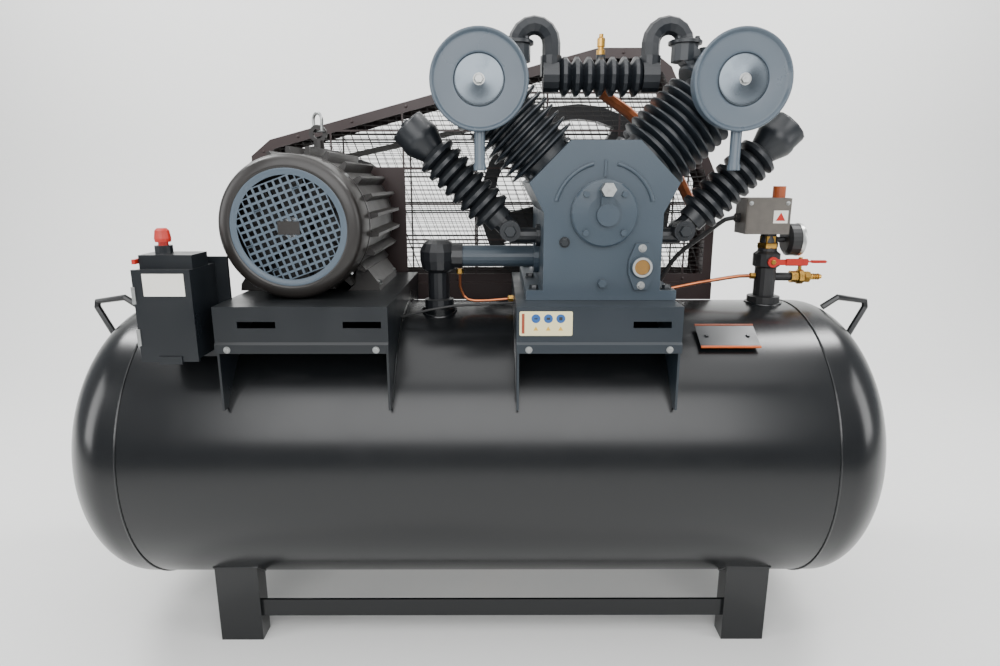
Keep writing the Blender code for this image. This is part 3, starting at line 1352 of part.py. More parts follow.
# ================================================================= controls
def switch_box():
    """Electrical box on its back plate, with a control head and the button's collar on top."""
    x0, x1 = BOX_X
    y0, y1 = BOX_Y
    z0, z1 = BOX_Z
    wall = BOX_WALL
    box = slab("switch_box", (x0, y0 + DOOR_THICK + GAP, z0), (x1, y1, z1), "tank paint")
    inside = slab(
        "switch_box_inside", (x0 + wall, y0, z0 + wall), (x1 - wall, y1 - wall, z1 - wall), "tank paint",
    )
    cut(box, inside)
    bracket_side = MOTOR_BRACKET_X[0] - GAP
    back = slab(
        "switch_box_back_plate", (x0 + 6 * MM, y1 - wall, z0 - 44 * MM),
        (bracket_side, y1 + 3 * MM, z1 + 12 * MM), "bracket paint",
    )
    tab = slab(
        "switch_box_tab", (bracket_side - 4 * MM, y1, BRACKET_TOP - 70 * MM),
        (bracket_side, y1 + 60 * MM, BRACKET_TOP - 8 * MM), "bracket paint",
    )
    fuse(box, back, tab)
    cut(box, tank_cutter("switch_box_saddle"))
    control = slab(
        "control_head", (x0 + 2 * MM, y0 + 22 * MM, z1 - 1 * MM),
        (x1 - 2 * MM, y0 + 84 * MM, z1 + CONTROL_HEAD_HEIGHT), "motor paint",
    )
    collar_inner = BUTTON_RADIUS - 4 * MM
    collar_outer = BUTTON_RADIUS + 2 * MM
    seat = (BUTTON_X, y0 + BUTTON_BACK, z1 + CONTROL_HEAD_HEIGHT)
    collar = turned(
        "button_collar",
        [(collar_inner, -6 * MM), (collar_outer, -6 * MM), (collar_outer, 14 * MM), (collar_inner, 14 * MM)],
        "black plastic", at=seat, along=(0, 0, 1), steps=16,
    )
    fuse(box, control, collar)
    well = rod(
        "button_well", collar_inner, 40 * MM, "black plastic",
        at=(seat[0], seat[1], seat[2] - 14 * MM), along=(0, 0, 1), steps=16,
    )
    cut(box, well)
    box_door()
    hand_controls(seat)
    hose = [
        (x0 - TUBE_GAP, y1 - 24 * MM, z0 + 70 * MM),
        (x0 - 24 * MM, y1 - 24 * MM, z0 + 70 * MM),
        (x0 - 56 * MM, y1 + 40 * MM, z0 + 58 * MM),
        (x0 - 44 * MM, y1 + 76 * MM, z0 + 42 * MM),
        (x0 + 10 * MM, y1 + 84 * MM, z0 + 52 * MM),
        (MOTOR_BRACKET_X[0] - TUBE_GAP, y1 + 84 * MM, z0 + 50 * MM),
    ]
    bent_tube("supply_hose", flowing(hose), HOSE_RADIUS, "rubber")


def box_door():
    """Door hung on the box's left front edge, with a catch below."""
    x0, x1 = BOX_X
    y0 = BOX_Y[0]
    z0, z1 = BOX_Z
    hinge = bpy.data.objects.new("door_hinge", None)
    bpy.context.scene.collection.objects.link(hinge)
    hinge.location = (x0 - DOOR_LAP, y0, z0)
    width = x1 - x0 + 2 * DOOR_LAP
    height = z1 - z0
    door = slab(
        "switch_box_door", (0, 0, -4 * MM), (width, DOOR_THICK, height + 1 * MM), "tank paint", parent=hinge,
    )
    catch = slab(
        "door_catch", (32 * MM, -3 * MM, -8 * MM), (width - 28 * MM, 4 * MM, 6 * MM), "bright steel",
        parent=hinge,
    )
    fuse(door, catch)


def hand_controls(seat):
    """Red stop button in its collar and the isolator's lever on the box's left flank."""
    stem = BUTTON_RADIUS - 4.6 * MM
    turned(
        "stop_button",
        [
            (0, -8 * MM), (stem, -8 * MM), (stem, 20 * MM), (BUTTON_RADIUS, 20 * MM),
            (BUTTON_RADIUS + 1 * MM, 26 * MM), (BUTTON_RADIUS - 1 * MM, 40 * MM),
            (BUTTON_RADIUS - 5 * MM, 44 * MM), (0, 44 * MM),
        ],
        "red plastic", at=seat, along=(0, 0, 1), steps=16,
    )
    x = BOX_X[0] + 2 * MM - GAP
    y = BOX_Y[0] + ISOLATOR_BACK
    z = BOX_Z[1] + ISOLATOR_RISE
    lever = rod("isolator_lever", 7 * MM, 8 * MM, "red plastic", at=(x, y, z), along=(-1, 0, 0), steps=16)
    arm = slab(
        "isolator_arm", (x - 8 * MM, y - ISOLATOR_ARM, z - 4 * MM), (x - 2 * MM, y, z + 4 * MM),
        "red plastic",
    )
    fuse(lever, arm)


def air_controls():
    """Riser with its branches, the valve levers, the pressure switch, the gauge and the outlet cock."""
    foot = tank_surface(0)
    inner = RISER_RADIUS - 6 * MM
    collar = RISER_RADIUS + 6 * MM
    base = RISER_RADIUS + 12 * MM
    riser = turned(
        "air_manifold",
        [
            (0, 0), (base, 0), (base, 14 * MM), (RISER_RADIUS, 16 * MM), (RISER_RADIUS, 76 * MM),
            (collar, 80 * MM), (collar, 106 * MM), (RISER_RADIUS - 2 * MM, 112 * MM), (inner, RISER_HEIGHT),
            (0, RISER_HEIGHT),
        ],
        "black plastic", at=(RISER_X, 0, foot), along=(0, 0, 1), steps=16,
    )
    branch = rod(
        "manifold_branch", 9 * MM, COCK_X - COCK_BACK - RISER_X, "brass",
        at=(RISER_X, 0, COCK_Z), along=(1, 0, 0), steps=12,
    )
    gauge_stem = rod(
        "gauge_stem", 6 * MM, GAUGE_FACE_X - GAUGE_DEPTH - RISER_X, "brass",
        at=(RISER_X, 0, GAUGE_Z), along=(1, 0, 0), steps=12,
    )
    spindle_z = tank_surface(RISER_RADIUS) + SPINDLE_RISE
    spindle = rod(
        "manifold_spindle", SPINDLE_RADIUS, RISER_RADIUS + 14 * MM, "brass",
        at=(RISER_X, 0, spindle_z), along=(0, -1, 0), steps=10,
    )
    fuse(riser, branch, gauge_stem, spindle)
    hub_y = -RISER_RADIUS - 11 * MM
    hub = SPINDLE_RADIUS + GAP
    lever = turned(
        "riser_valve_lever", [(hub, 0), (11 * MM, 0), (11 * MM, 5 * MM), (hub, 5 * MM)],
        "red plastic", at=(RISER_X, hub_y, spindle_z), along=(0, -1, 0), steps=16,
    )
    arm = slab(
        "riser_lever_arm", (RISER_X + 9 * MM, hub_y - 5 * MM, spindle_z - 6 * MM),
        (RISER_X + RISER_LEVER, hub_y - 1 * MM, spindle_z + 6 * MM), "red plastic",
    )
    fuse(lever, arm)
    pressure_switch()
    pressure_gauge()
    outlet_cock()


def pressure_switch():
    """Switch box on the riser, with its pull knob and the cable's gland."""
    low = tank_surface(RISER_RADIUS) + SWITCH_RISE
    top = low + SWITCH_HEIGHT
    switch = slab(
        "pressure_switch", (SWITCH_LEFT, -30 * MM, low), (SWITCH_LEFT + SWITCH_WIDTH, 36 * MM, top),
        "black plastic",
    )
    gland = rod(
        "switch_gland", 9 * MM, SWITCH_GLAND + 2 * MM, "black plastic",
        at=(SWITCH_LEFT + 2 * MM, CABLE_Y, CABLE_Z), along=(-1, 0, 0), steps=12,
    )
    fuse(switch, gland)
    rod(
        "pressure_switch_knob", KNOB_RADIUS, KNOB_HEIGHT, "red plastic",
        at=(RISER_X + 14 * MM, 0, top + GAP), along=(0, 0, 1), steps=16,
    )


def pressure_gauge():
    """Cup of the gauge, and its needle at the low end of the scale."""
    cup = GAUGE_RADIUS - 5 * MM
    turned(
        "pressure_gauge",
        [
            (0, 0), (GAUGE_RADIUS - 8 * MM, 0), (GAUGE_RADIUS, 6 * MM), (GAUGE_RADIUS, GAUGE_DEPTH - MM),
            (cup + MM, GAUGE_DEPTH), (cup, GAUGE_DEPTH - 10 * MM), (0, GAUGE_DEPTH - 10 * MM),
        ],
        "black plastic", at=(GAUGE_FACE_X - GAUGE_DEPTH + GAP, 0, GAUGE_Z), along=(1, 0, 0), steps=24,
    )
    needle = rod(
        "gauge_needle", 3 * MM, 2 * MM, "black plastic",
        at=(GAUGE_FACE_X - 9 * MM, 0, GAUGE_Z), along=(1, 0, 0), steps=10,
    )
    arm = slab(
        "needle_arm", (-0.9 * MM, 0, 0.4 * MM), (0.9 * MM, NEEDLE_LENGTH, 1.4 * MM), "black plastic",
        parent=needle,
    )
    arm.rotation_euler = (0, 0, NEEDLE_REST)
    fuse(needle, arm)


def outlet_cock():
    """Brass ball cock on the riser's branch, with a lever on its upright spindle."""
    cock = turned(
        "outlet_cock",
        [
            (0, 0), (13 * MM, 0), (13 * MM, 14 * MM), (16 * MM, 16 * MM), (16 * MM, 26 * MM),
            (10 * MM, 30 * MM),
            (8 * MM, COCK_LENGTH), (0, COCK_LENGTH),
        ],
        "brass", at=(COCK_X - COCK_BACK + GAP, 0, COCK_Z), along=(1, 0, 0), steps=14,
    )
    x = COCK_X + 8 * MM
    spindle = rod("cock_spindle", 4 * MM, 38 * MM, "brass", at=(x, 0, COCK_Z), along=(0, 0, 1), steps=10)
    fuse(cock, spindle)
    hub = 4 * MM + GAP
    tap = turned(
        "outlet_cock_lever", [(hub, 0), (9 * MM, 0), (9 * MM, 5 * MM), (hub, 5 * MM)],
        "red plastic", at=(x, 0, COCK_Z + 30 * MM), along=(0, 0, 1), steps=14,
    )
    arm = slab(
        "cock_lever_arm", (x + 7 * MM, -5 * MM, COCK_Z + 31 * MM), (x + COCK_LEVER, 5 * MM, COCK_Z + 34 * MM),
        "red plastic",
    )
    fuse(tap, arm)


def drain_valve():
    """Condensate drain under the receiver, with a side spout."""
    low = TANK_AXIS_HEIGHT - TANK_RADIUS - 2 * GAP
    body = turned(
        "tank_drain_valve",
        [
            (0, 0), (12 * MM, 0), (12 * MM, 22 * MM), (18 * MM, 24 * MM), (18 * MM, DRAIN_DEPTH),
            (0, DRAIN_DEPTH),
        ],
        "brass", at=(DRAIN_X, 0, low - DRAIN_DEPTH), along=(0, 0, 1), steps=14,
    )
    spout = rod(
        "drain_spout", 7 * MM, 60 * MM, "brass",
        at=(DRAIN_X - 30 * MM, 0, low - DRAIN_DEPTH + 13 * MM), along=(1, 0, 0), steps=10,
    )
    fuse(body, spout)


def main():
    """Build the whole machine from the floor up."""
    clear_scene()
    shell = receiver()
    leg_frames()
    handles()
    motor_slots = [MOTOR_BRACKET_X[0] + MOTOR_SLOT_INSETS[0], MOTOR_BRACKET_X[1] - MOTOR_SLOT_INSETS[1]]
    bracket("motor_bracket", MOTOR_BRACKET_X, motor_slots)
    bracket("pump_bracket", PUMP_BRACKET_X, [PUMP_BRACKET_X[1] - PUMP_SLOT_INSET])
    motor_frame()
    fan_cowl()
    rotor_and_fan()
    pulley_bore = SHAFT_RADIUS + GAP
    sheave("motor_pulley", (MOTOR_X, DRIVE_Y, MOTOR_Z), MOTOR_PULLEY_RADIUS, pulley_bore, False, "cast iron")
    sheave("flywheel", (CRANK_X, DRIVE_Y, CRANK_Z), FLYWHEEL_RADIUS, JOURNAL_RADIUS, True, "cast iron")
    belts()
    case = crankcase()
    bearing_cover()
    crankshaft()
    case_fittings(case)
    banks(case)
    intercooler()
    interstage_pipe()
    discharge_line(shell)
    small_tubes()
    belt_guard()
    switch_box()
    air_controls()
    drain_valve()


main()
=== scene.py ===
"""Looks of a belt-driven two-stage piston air compressor standing on its air receiver.

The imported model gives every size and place. This script dresses its nodes and adds the fine pieces:
smooth receiver plates with their welds, the fan grille, the guard's wire mesh, the intake filters'
covers, bolts, fittings, small tubes, the gauge's face and blank plates.
"""

import json
import logging
import math
from dataclasses import dataclass
from enum import Enum
from typing import Any, Callable, Iterable, Sequence

import bmesh
import bpy
from mathutils import Matrix, Vector


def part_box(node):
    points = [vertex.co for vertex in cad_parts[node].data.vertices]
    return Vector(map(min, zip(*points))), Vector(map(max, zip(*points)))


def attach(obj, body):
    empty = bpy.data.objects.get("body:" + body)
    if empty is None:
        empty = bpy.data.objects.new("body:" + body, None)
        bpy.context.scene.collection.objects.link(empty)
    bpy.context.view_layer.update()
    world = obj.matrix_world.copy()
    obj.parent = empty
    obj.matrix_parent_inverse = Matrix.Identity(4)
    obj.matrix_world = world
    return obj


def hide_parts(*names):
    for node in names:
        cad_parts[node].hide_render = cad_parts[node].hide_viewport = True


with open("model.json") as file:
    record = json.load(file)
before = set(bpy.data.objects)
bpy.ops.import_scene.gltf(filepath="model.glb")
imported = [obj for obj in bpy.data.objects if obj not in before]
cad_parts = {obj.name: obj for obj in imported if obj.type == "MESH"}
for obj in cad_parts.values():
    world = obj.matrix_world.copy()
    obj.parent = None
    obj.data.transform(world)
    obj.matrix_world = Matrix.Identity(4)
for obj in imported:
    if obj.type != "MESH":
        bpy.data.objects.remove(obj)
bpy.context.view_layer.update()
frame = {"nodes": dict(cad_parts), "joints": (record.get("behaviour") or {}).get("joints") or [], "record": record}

Point = Sequence[float]
MM = 0.001
MERGE = 0.000002
AXIS_TOUCH = 0.0000001
BODY = "machine"
# Signs of a rectangle's corners, anticlockwise.
CORNERS = ((-1, -1), (1, -1), (1, 1), (-1, 1))
log = logging.getLogger("compressor")


# ------------------------------------------------------------------- finishes
class Ground(Enum):
    """What a paint lies on: size in mm and depth in mm of the grain that shows through it."""

    SHEET = (3.0, 0.010)
    CASTING = (2.2, 0.16)


class Lay(Enum):
    """How tool marks run on bare metal, as the stretch of their pattern along X, Y and Z."""

    TURNED = (1.0, 9.0, 1.0)
    DRAWN = (0.15, 1.0, 1.0)


def linear(code: str) -> tuple[float, float, float, float]:
    """Turn an sRGB hex value into a linear colour.

    Args:
        code: the colour as #rrggbb.

    Returns:
        Red, green, blue and an alpha of one.
    """
    channels = [int(code[start : start + 2], 16) / 255 for start in (1, 3, 5)]
    red, green, blue = (c / 12.92 if c <= 0.04045 else ((c + 0.055) / 1.055) ** 2.4 for c in channels)
    return red, green, blue, 1.0


def add(tree: bpy.types.NodeTree, kind: str, sockets: dict | None = None, **settings: Any) -> bpy.types.Node:
    """Add one node with its settings and links.

    Args:
        tree: the node tree.
        kind: the node's type.
        sockets: input name or number to a value, or to the output that feeds it.
        settings: properties of the node.

    Returns:
        The new node.
    """
    node = tree.nodes.new(kind)
    for key, value in settings.items():
        setattr(node, key, value)
    for key, value in (sockets or {}).items():
        if isinstance(value, bpy.types.NodeSocket):
            tree.links.new(value, node.inputs[key])
        else:
            node.inputs[key].default_value = value
    return node


@dataclass(frozen=True)
class Finish:
    """What all finishes share: a name, an sRGB base colour and a typical roughness."""

    title: str
    base: str
    roughness: float

    def material(self) -> bpy.types.Material:
        """Make the finish's material the first time it is asked for.

        Returns:
            The material, shared by every piece that has this finish.
        """
        made = bpy.data.materials.get(self.title)
        if made is None:
            made = bpy.data.materials.new(self.title)
            made.use_nodes = True
            made.diffuse_color = linear(self.base)
            shader = made.node_tree.nodes["Principled BSDF"]
            shader.inputs["Base Color"].default_value = linear(self.base)
            shader.inputs["Roughness"].default_value = self.roughness
            self.dress(made.node_tree, shader)
        return made

    def dress(self, tree: bpy.types.NodeTree, shader: bpy.types.Node) -> None:
        """Add the pattern nodes; each kind of finish has its own."""
        raise NotImplementedError


@dataclass(frozen=True)
class SprayedEnamel(Finish):
    """Alkyd enamel sprayed on metal: orange peel or casting grain under gloss, dust on what faces up."""

    ground: Ground = Ground.SHEET
    dust: str = "#6d6c68"
    dusting: float = 0.10
    smear_mm: float = 90.0
    unevenness: float = 0.065

    def dress(self, tree: bpy.types.NodeTree, shader: bpy.types.Node) -> None:
        """Mix settled dust into the colour, vary the gloss in smears and raise the ground's grain.

        Args:
            tree: the material's nodes.
            shader: its Principled BSDF.
        """
        grain_mm, depth_mm = self.ground.value
        place = add(tree, "ShaderNodeTexCoord").outputs["Object"]
        normal = add(tree, "ShaderNodeNewGeometry").outputs["Normal"]
        upward = add(tree, "ShaderNodeSeparateXYZ", {"Vector": normal}).outputs["Z"]
        smear = add(
            tree, "ShaderNodeTexNoise", {"Vector": place, "Scale": 1 / (self.smear_mm * MM), "Detail": 5.0},
        )
        settled = add(
            tree, "ShaderNodeMapRange",
            {
                "Value": upward, "From Min": 0.3, "From Max": 1.0, "To Min": 0.1 * self.dusting,
                "To Max": 2 * self.dusting,
            },
        )
        patchy = add(
            tree, "ShaderNodeMath", {0: settled.outputs["Result"], 1: smear.outputs["Fac"]},
            operation="MULTIPLY",
        )
        colour = add(
            tree, "ShaderNodeMix", {0: patchy.outputs["Value"], 6: linear(self.base), 7: linear(self.dust)},
            data_type="RGBA",
        )
        gloss = add(
            tree, "ShaderNodeMapRange",
            {
                "Value": smear.outputs["Fac"], "From Min": 0.3, "From Max": 0.7,
                "To Min": self.roughness - self.unevenness, "To Max": self.roughness + self.unevenness,
            },
        )
        grain = add(
            tree, "ShaderNodeTexNoise", {"Vector": place, "Scale": 1 / (grain_mm * MM), "Detail": 2.0},
        )
        relief = add(
            tree, "ShaderNodeBump",
            {"Height": grain.outputs["Fac"], "Distance": depth_mm * MM, "Strength": 1.0},
        )
        tree.links.new(colour.outputs[2], shader.inputs["Base Color"])
        tree.links.new(gloss.outputs["Result"], shader.inputs["Roughness"])
        tree.links.new(relief.outputs["Normal"], shader.inputs["Normal"])


@dataclass(frozen=True)
class BareMetal(Finish):
    """Turned, ground or drawn metal: fine tool marks, with tarnish in patches."""

    tarnish: str = "#4a4038"
    lay: Lay = Lay.TURNED
    mark_mm: float = 0.8
    patch_mm: float = 14.0

    def dress(self, tree: bpy.types.NodeTree, shader: bpy.types.Node) -> None:
        """Stretch fine noise along the tool's travel and mix tarnish in where a coarse noise peaks.

        Args:
            tree: the material's nodes.
            shader: its Principled BSDF.
        """
        shader.inputs["Metallic"].default_value = 1.0
        place = add(tree, "ShaderNodeTexCoord").outputs["Object"]
        along = add(tree, "ShaderNodeMapping", {"Vector": place, "Scale": self.lay.value}).outputs["Vector"]
        marks = add(
            tree, "ShaderNodeTexNoise", {"Vector": along, "Scale": 1 / (self.mark_mm * MM), "Detail": 1.0},
        )
        patches = add(
            tree, "ShaderNodeTexNoise", {"Vector": place, "Scale": 1 / (self.patch_mm * MM), "Detail": 4.0},
        )
        amount = add(
            tree, "ShaderNodeMapRange",
            {
                "Value": patches.outputs["Fac"], "From Min": 0.5, "From Max": 0.75, "To Min": 0.05,
                "To Max": 0.55,
            },
        )
        colour = add(
            tree, "ShaderNodeMix",
            {0: amount.outputs["Result"], 6: linear(self.base), 7: linear(self.tarnish)},
            data_type="RGBA",
        )
        gloss = add(
            tree, "ShaderNodeMapRange",
            {
                "Value": patches.outputs["Fac"], "To Min": self.roughness - 0.06,
                "To Max": self.roughness + 0.14,
            },
        )
        relief = add(
            tree, "ShaderNodeBump", {"Height": marks.outputs["Fac"], "Distance": 0.02 * MM, "Strength": 0.8},
        )
        tree.links.new(colour.outputs[2], shader.inputs["Base Color"])
        tree.links.new(gloss.outputs["Result"], shader.inputs["Roughness"])
        tree.links.new(relief.outputs["Normal"], shader.inputs["Normal"])


@dataclass(frozen=True)
class MouldedPlastic(Finish):
    """Injection-moulded plastic or vinyl: an etched tool grain, finger-polished in places."""

    worn: str = "#2a2a2a"
    grain_mm: float = 0.7

    def dress(self, tree: bpy.types.NodeTree, shader: bpy.types.Node) -> None:
        """Raise the tool's grain, drawn a little coarse so that it shows, and vary colour and gloss.

        Args:
            tree: the material's nodes.
            shader: its Principled BSDF.
        """
        place = add(tree, "ShaderNodeTexCoord").outputs["Object"]
        grain = add(
            tree, "ShaderNodeTexNoise", {"Vector": place, "Scale": 1 / (self.grain_mm * MM), "Detail": 1.0},
        )
        handled = add(tree, "ShaderNodeTexNoise", {"Vector": place, "Scale": 1 / (22 * MM), "Detail": 3.0})
        amount = add(
            tree, "ShaderNodeMapRange",
            {
                "Value": handled.outputs["Fac"], "From Min": 0.45, "From Max": 0.8, "To Min": 0.0,
                "To Max": 0.4,
            },
        )
        colour = add(
            tree, "ShaderNodeMix", {0: amount.outputs["Result"], 6: linear(self.base), 7: linear(self.worn)},
            data_type="RGBA",
        )
        gloss = add(
            tree, "ShaderNodeMapRange",
            {"Value": handled.outputs["Fac"], "To Min": self.roughness - 0.1, "To Max": self.roughness + 0.1},
        )
        relief = add(
            tree, "ShaderNodeBump", {"Height": grain.outputs["Fac"], "Distance": 0.03 * MM, "Strength": 0.7},
        )
        tree.links.new(colour.outputs[2], shader.inputs["Base Color"])
        tree.links.new(gloss.outputs["Result"], shader.inputs["Roughness"])
        tree.links.new(relief.outputs["Normal"], shader.inputs["Normal"])


@dataclass(frozen=True)
class ClothRubber(Finish):
    """Fabric-wrapped belt rubber: a bias cover cloth, grey with drive dust where it runs."""

    thread_mm: float = 1.2
    dust: str = "#4b4a47"

    def dress(self, tree: bpy.types.NodeTree, shader: bpy.types.Node) -> None:
        """Cross two bands for the cloth and lay dust over it.

        Args:
            tree: the material's nodes.
            shader: its Principled BSDF.
        """
        place = add(tree, "ShaderNodeTexCoord").outputs["Object"]
        turned = add(tree, "ShaderNodeMapping", {"Vector": place, "Rotation": (0.3, math.radians(45), 0.4)})
        warp = add(
            tree, "ShaderNodeTexWave",
            {"Vector": turned.outputs["Vector"], "Scale": 1 / (2 * self.thread_mm * MM)},
        )
        weft = add(
            tree, "ShaderNodeTexWave",
            {"Vector": turned.outputs["Vector"], "Scale": 1 / (2 * self.thread_mm * MM)},
            bands_direction="Z",
        )
        cloth = add(tree, "ShaderNodeMath", {0: warp.outputs["Fac"], 1: weft.outputs["Fac"]}, operation="ADD")
        drift = add(tree, "ShaderNodeTexNoise", {"Vector": place, "Scale": 1 / (40 * MM), "Detail": 4.0})
        colour = add(
            tree, "ShaderNodeMix", {0: drift.outputs["Fac"], 6: linear(self.base), 7: linear(self.dust)},
            data_type="RGBA",
        )
        relief = add(
            tree, "ShaderNodeBump", {"Height": cloth.outputs["Value"], "Distance": 0.1 * MM, "Strength": 0.8},
        )
        tree.links.new(colour.outputs[2], shader.inputs["Base Color"])
        tree.links.new(relief.outputs["Normal"], shader.inputs["Normal"])


@dataclass(frozen=True)
class PrintedFilm(Finish):
    """Screen-printed film or coated plate: even ink with a faint mottle and a slightly yellowed tone."""

    aged: str = "#c9bf9d"

    def dress(self, tree: bpy.types.NodeTree, shader: bpy.types.Node) -> None:
        """Age the ink in soft clouds and mottle its gloss.

        Args:
            tree: the material's nodes.
            shader: its Principled BSDF.
        """
        place = add(tree, "ShaderNodeTexCoord").outputs["Object"]
        clouds = add(tree, "ShaderNodeTexNoise", {"Vector": place, "Scale": 1 / (30 * MM), "Detail": 3.0})
        amount = add(
            tree, "ShaderNodeMapRange", {"Value": clouds.outputs["Fac"], "To Min": 0.0, "To Max": 0.35},
        )
        colour = add(
            tree, "ShaderNodeMix", {0: amount.outputs["Result"], 6: linear(self.base), 7: linear(self.aged)},
            data_type="RGBA",
        )
        gloss = add(
            tree, "ShaderNodeMapRange",
            {"Value": clouds.outputs["Fac"], "To Min": self.roughness - 0.1, "To Max": self.roughness + 0.1},
        )
        tree.links.new(colour.outputs[2], shader.inputs["Base Color"])
        tree.links.new(gloss.outputs["Result"], shader.inputs["Roughness"])


@dataclass(frozen=True)
class WindowGlass(Finish):
    """Clear glass or acrylic over a dial or an oil eye: almost invisible, with wiping marks in its gloss."""

    def dress(self, tree: bpy.types.NodeTree, shader: bpy.types.Node) -> None:
        """Let light through and smear the gloss.

        Args:
            tree: the material's nodes.
            shader: its Principled BSDF.
        """
        shader.inputs["Transmission Weight"].default_value = 1.0
        shader.inputs["IOR"].default_value = 1.49
        place = add(tree, "ShaderNodeTexCoord").outputs["Object"]
        wiped = add(tree, "ShaderNodeTexNoise", {"Vector": place, "Scale": 1 / (9 * MM), "Detail": 3.0})
        gloss = add(
            tree, "ShaderNodeMapRange", {"Value": wiped.outputs["Fac"], "To Min": 0.01, "To Max": 0.12},
        )
        tree.links.new(gloss.outputs["Result"], shader.inputs["Roughness"])


# Black alkyd enamel on rolled plate: deep, with a broad grey sheen where the front bank meets it.
TANK_ENAMEL = SprayedEnamel("Alkyd enamel black on plate", "#0c0e10", 0.24, dusting=0.01, unevenness=0.02)
# The same black on folded sheet, a little flatter and bluer.
BRACKET_ENAMEL = SprayedEnamel("Alkyd enamel blue-black on sheet", "#12161a", 0.33, dusting=0.08)
# Dark slate on the sheet that carries the pump.
CASE_SHEET = SprayedEnamel("Alkyd enamel dark slate on sheet", "#1d252c", 0.33, dusting=0.06)
# Brown-black over the motor's ribbed iron: low gloss, the casting shows.
MOTOR_ENAMEL = SprayedEnamel(
    "Enamel brown-black on ribbed iron", "#1d1a18", 0.42, Ground.CASTING, dusting=0.10,
)
# Spun cowl: smoother than the frame, same brown-black.
COWL_ENAMEL = SprayedEnamel("Enamel brown-black on spun sheet", "#211e1c", 0.36, dusting=0.10)
# Grille plate: the slate of the pump, painted lighter as a painted highlight where it catches the light face on.
GRILLE_PAINTED_HIGHLIGHT_ENAMEL = SprayedEnamel("Enamel slate on perforated sheet", "#4c5863", 0.36, dusting=0.05)
# Slate over sand-cast iron: satin, grainy, the colour of the pump.
CASE_ENAMEL = SprayedEnamel("Enamel slate on sand-cast iron", "#34404a", 0.38, Ground.CASTING, dusting=0.12)
# Darker slate where the iron runs hot on the finned barrels.
BARREL_ENAMEL = SprayedEnamel(
    "Enamel dark slate on finned iron", "#1b2127", 0.36, Ground.CASTING, dusting=0.14,
)
# Dark slate over cast alloy fins.
COOLER_ENAMEL = SprayedEnamel("Enamel near-black on cast fins", "#15191e", 0.38, Ground.CASTING, dusting=0.12)
# Pressed sheet of the filters: smooth slate, painted lighter than the pump's slate as a painted highlight on the
# face to the light.
FILTER_PAINTED_HIGHLIGHT_ENAMEL = SprayedEnamel("Enamel slate on pressed sheet", "#47525c", 0.30, dusting=0.04)
# Primer-like red-brown on the guard's angle and sheet.
GUARD_ENAMEL = SprayedEnamel("Oxide enamel on guard sheet", "#2a1a19", 0.45, dusting=0.10, dust="#5d5048")
# Thin dark paint on the woven wire.
WIRE_ENAMEL = SprayedEnamel("Dip paint on woven wire", "#17130f", 0.5, dusting=0.1)
# Orange bead on the edge of the plate holder.
EDGE_VINYL = MouldedPlastic("Vinyl edging orange", "#b5521a", 0.42, worn="#7b3a16")
WHEEL_IRON = SprayedEnamel("Enamel black on turned iron wheel", "#16171a", 0.42, Ground.CASTING, dusting=0.10)
VALVE_IRON = SprayedEnamel("Enamel black on valve iron", "#14161a", 0.40, Ground.CASTING, dusting=0.14)
# Ground shaft steel: bright, with the grinder's fine lines round it.
GROUND_STEEL = BareMetal("Ground carbon steel", "#b4b7ba", 0.26, tarnish="#7d7a75")
# Zinc-plated fasteners: pale grey, a little cloudy.
ZINC = BareMetal("Zinc-plated steel", "#a7a9a8", 0.34, tarnish="#6c6b66", patch_mm=6.0)
# Blackened bolts under paint splashes.
BLACK_BOLT = SprayedEnamel("Paint over hex bolts", "#1c2024", 0.36, dusting=0.15)
CONE_STEEL = BareMetal("Pressed steel, lacquered", "#6d757c", 0.22, tarnish="#434b52", patch_mm=60.0)
ALLOY = BareMetal("Machined aluminium alloy", "#c3c4c2", 0.30, tarnish="#8d8c86")
# Turned brass, warm with brown tarnish in the corners.
BRASS = BareMetal("Turned brass", "#c79b4d", 0.26, tarnish="#7c5a26", patch_mm=7.0)
# Drawn copper tube, browned by heat.
COPPER = BareMetal("Drawn copper tube", "#b06a48", 0.30, tarnish="#5b3423", lay=Lay.DRAWN, patch_mm=20.0)
BELT = ClothRubber("Wrapped belt rubber", "#141413", 0.75)
SWITCH_PLASTIC = MouldedPlastic("Polyamide grey-brown", "#5f5a54", 0.45, worn="#403c38")
DARK_EDGE_VINYL = MouldedPlastic("Vinyl edging brown-orange", "#7a3514", 0.42, worn="#54240f")
AMBER_INK = PrintedFilm("Printed ink amber", "#c9a23a", 0.45, aged="#a98530")
RUST_INK = PrintedFilm("Printed ink red-brown", "#8a3a22", 0.45, aged="#6e2e1c")
SHEATH = MouldedPlastic("Cable sheath PVC black", "#111112", 0.45)
BLACK_PLASTIC = MouldedPlastic("Polyamide black", "#1a1a1b", 0.48)
RED_PLASTIC = MouldedPlastic("Vinyl dip red", "#b3261a", 0.36, worn="#7d1a12")
ORANGE_KNOB = MouldedPlastic("Polyamide orange-brown", "#9a4a22", 0.40, worn="#5e2c15")
WHITE_FILM = PrintedFilm("Printed film white", "#e4e3dd", 0.45)
CREAM_FILM = PrintedFilm("Printed film cream", "#d8cf9f", 0.45)
BLUE_INK = PrintedFilm("Printed ink blue", "#1d4f8c", 0.45, aged="#2a5580")
BLACK_INK = PrintedFilm("Printed ink black", "#1b1b1b", 0.5, aged="#2c2a28")
OIL = PrintedFilm("Oil behind the eye", "#b98a3c", 0.2, aged="#8a5b1f")
GLASS = WindowGlass("Acrylic window", "#ffffff", 0.05)

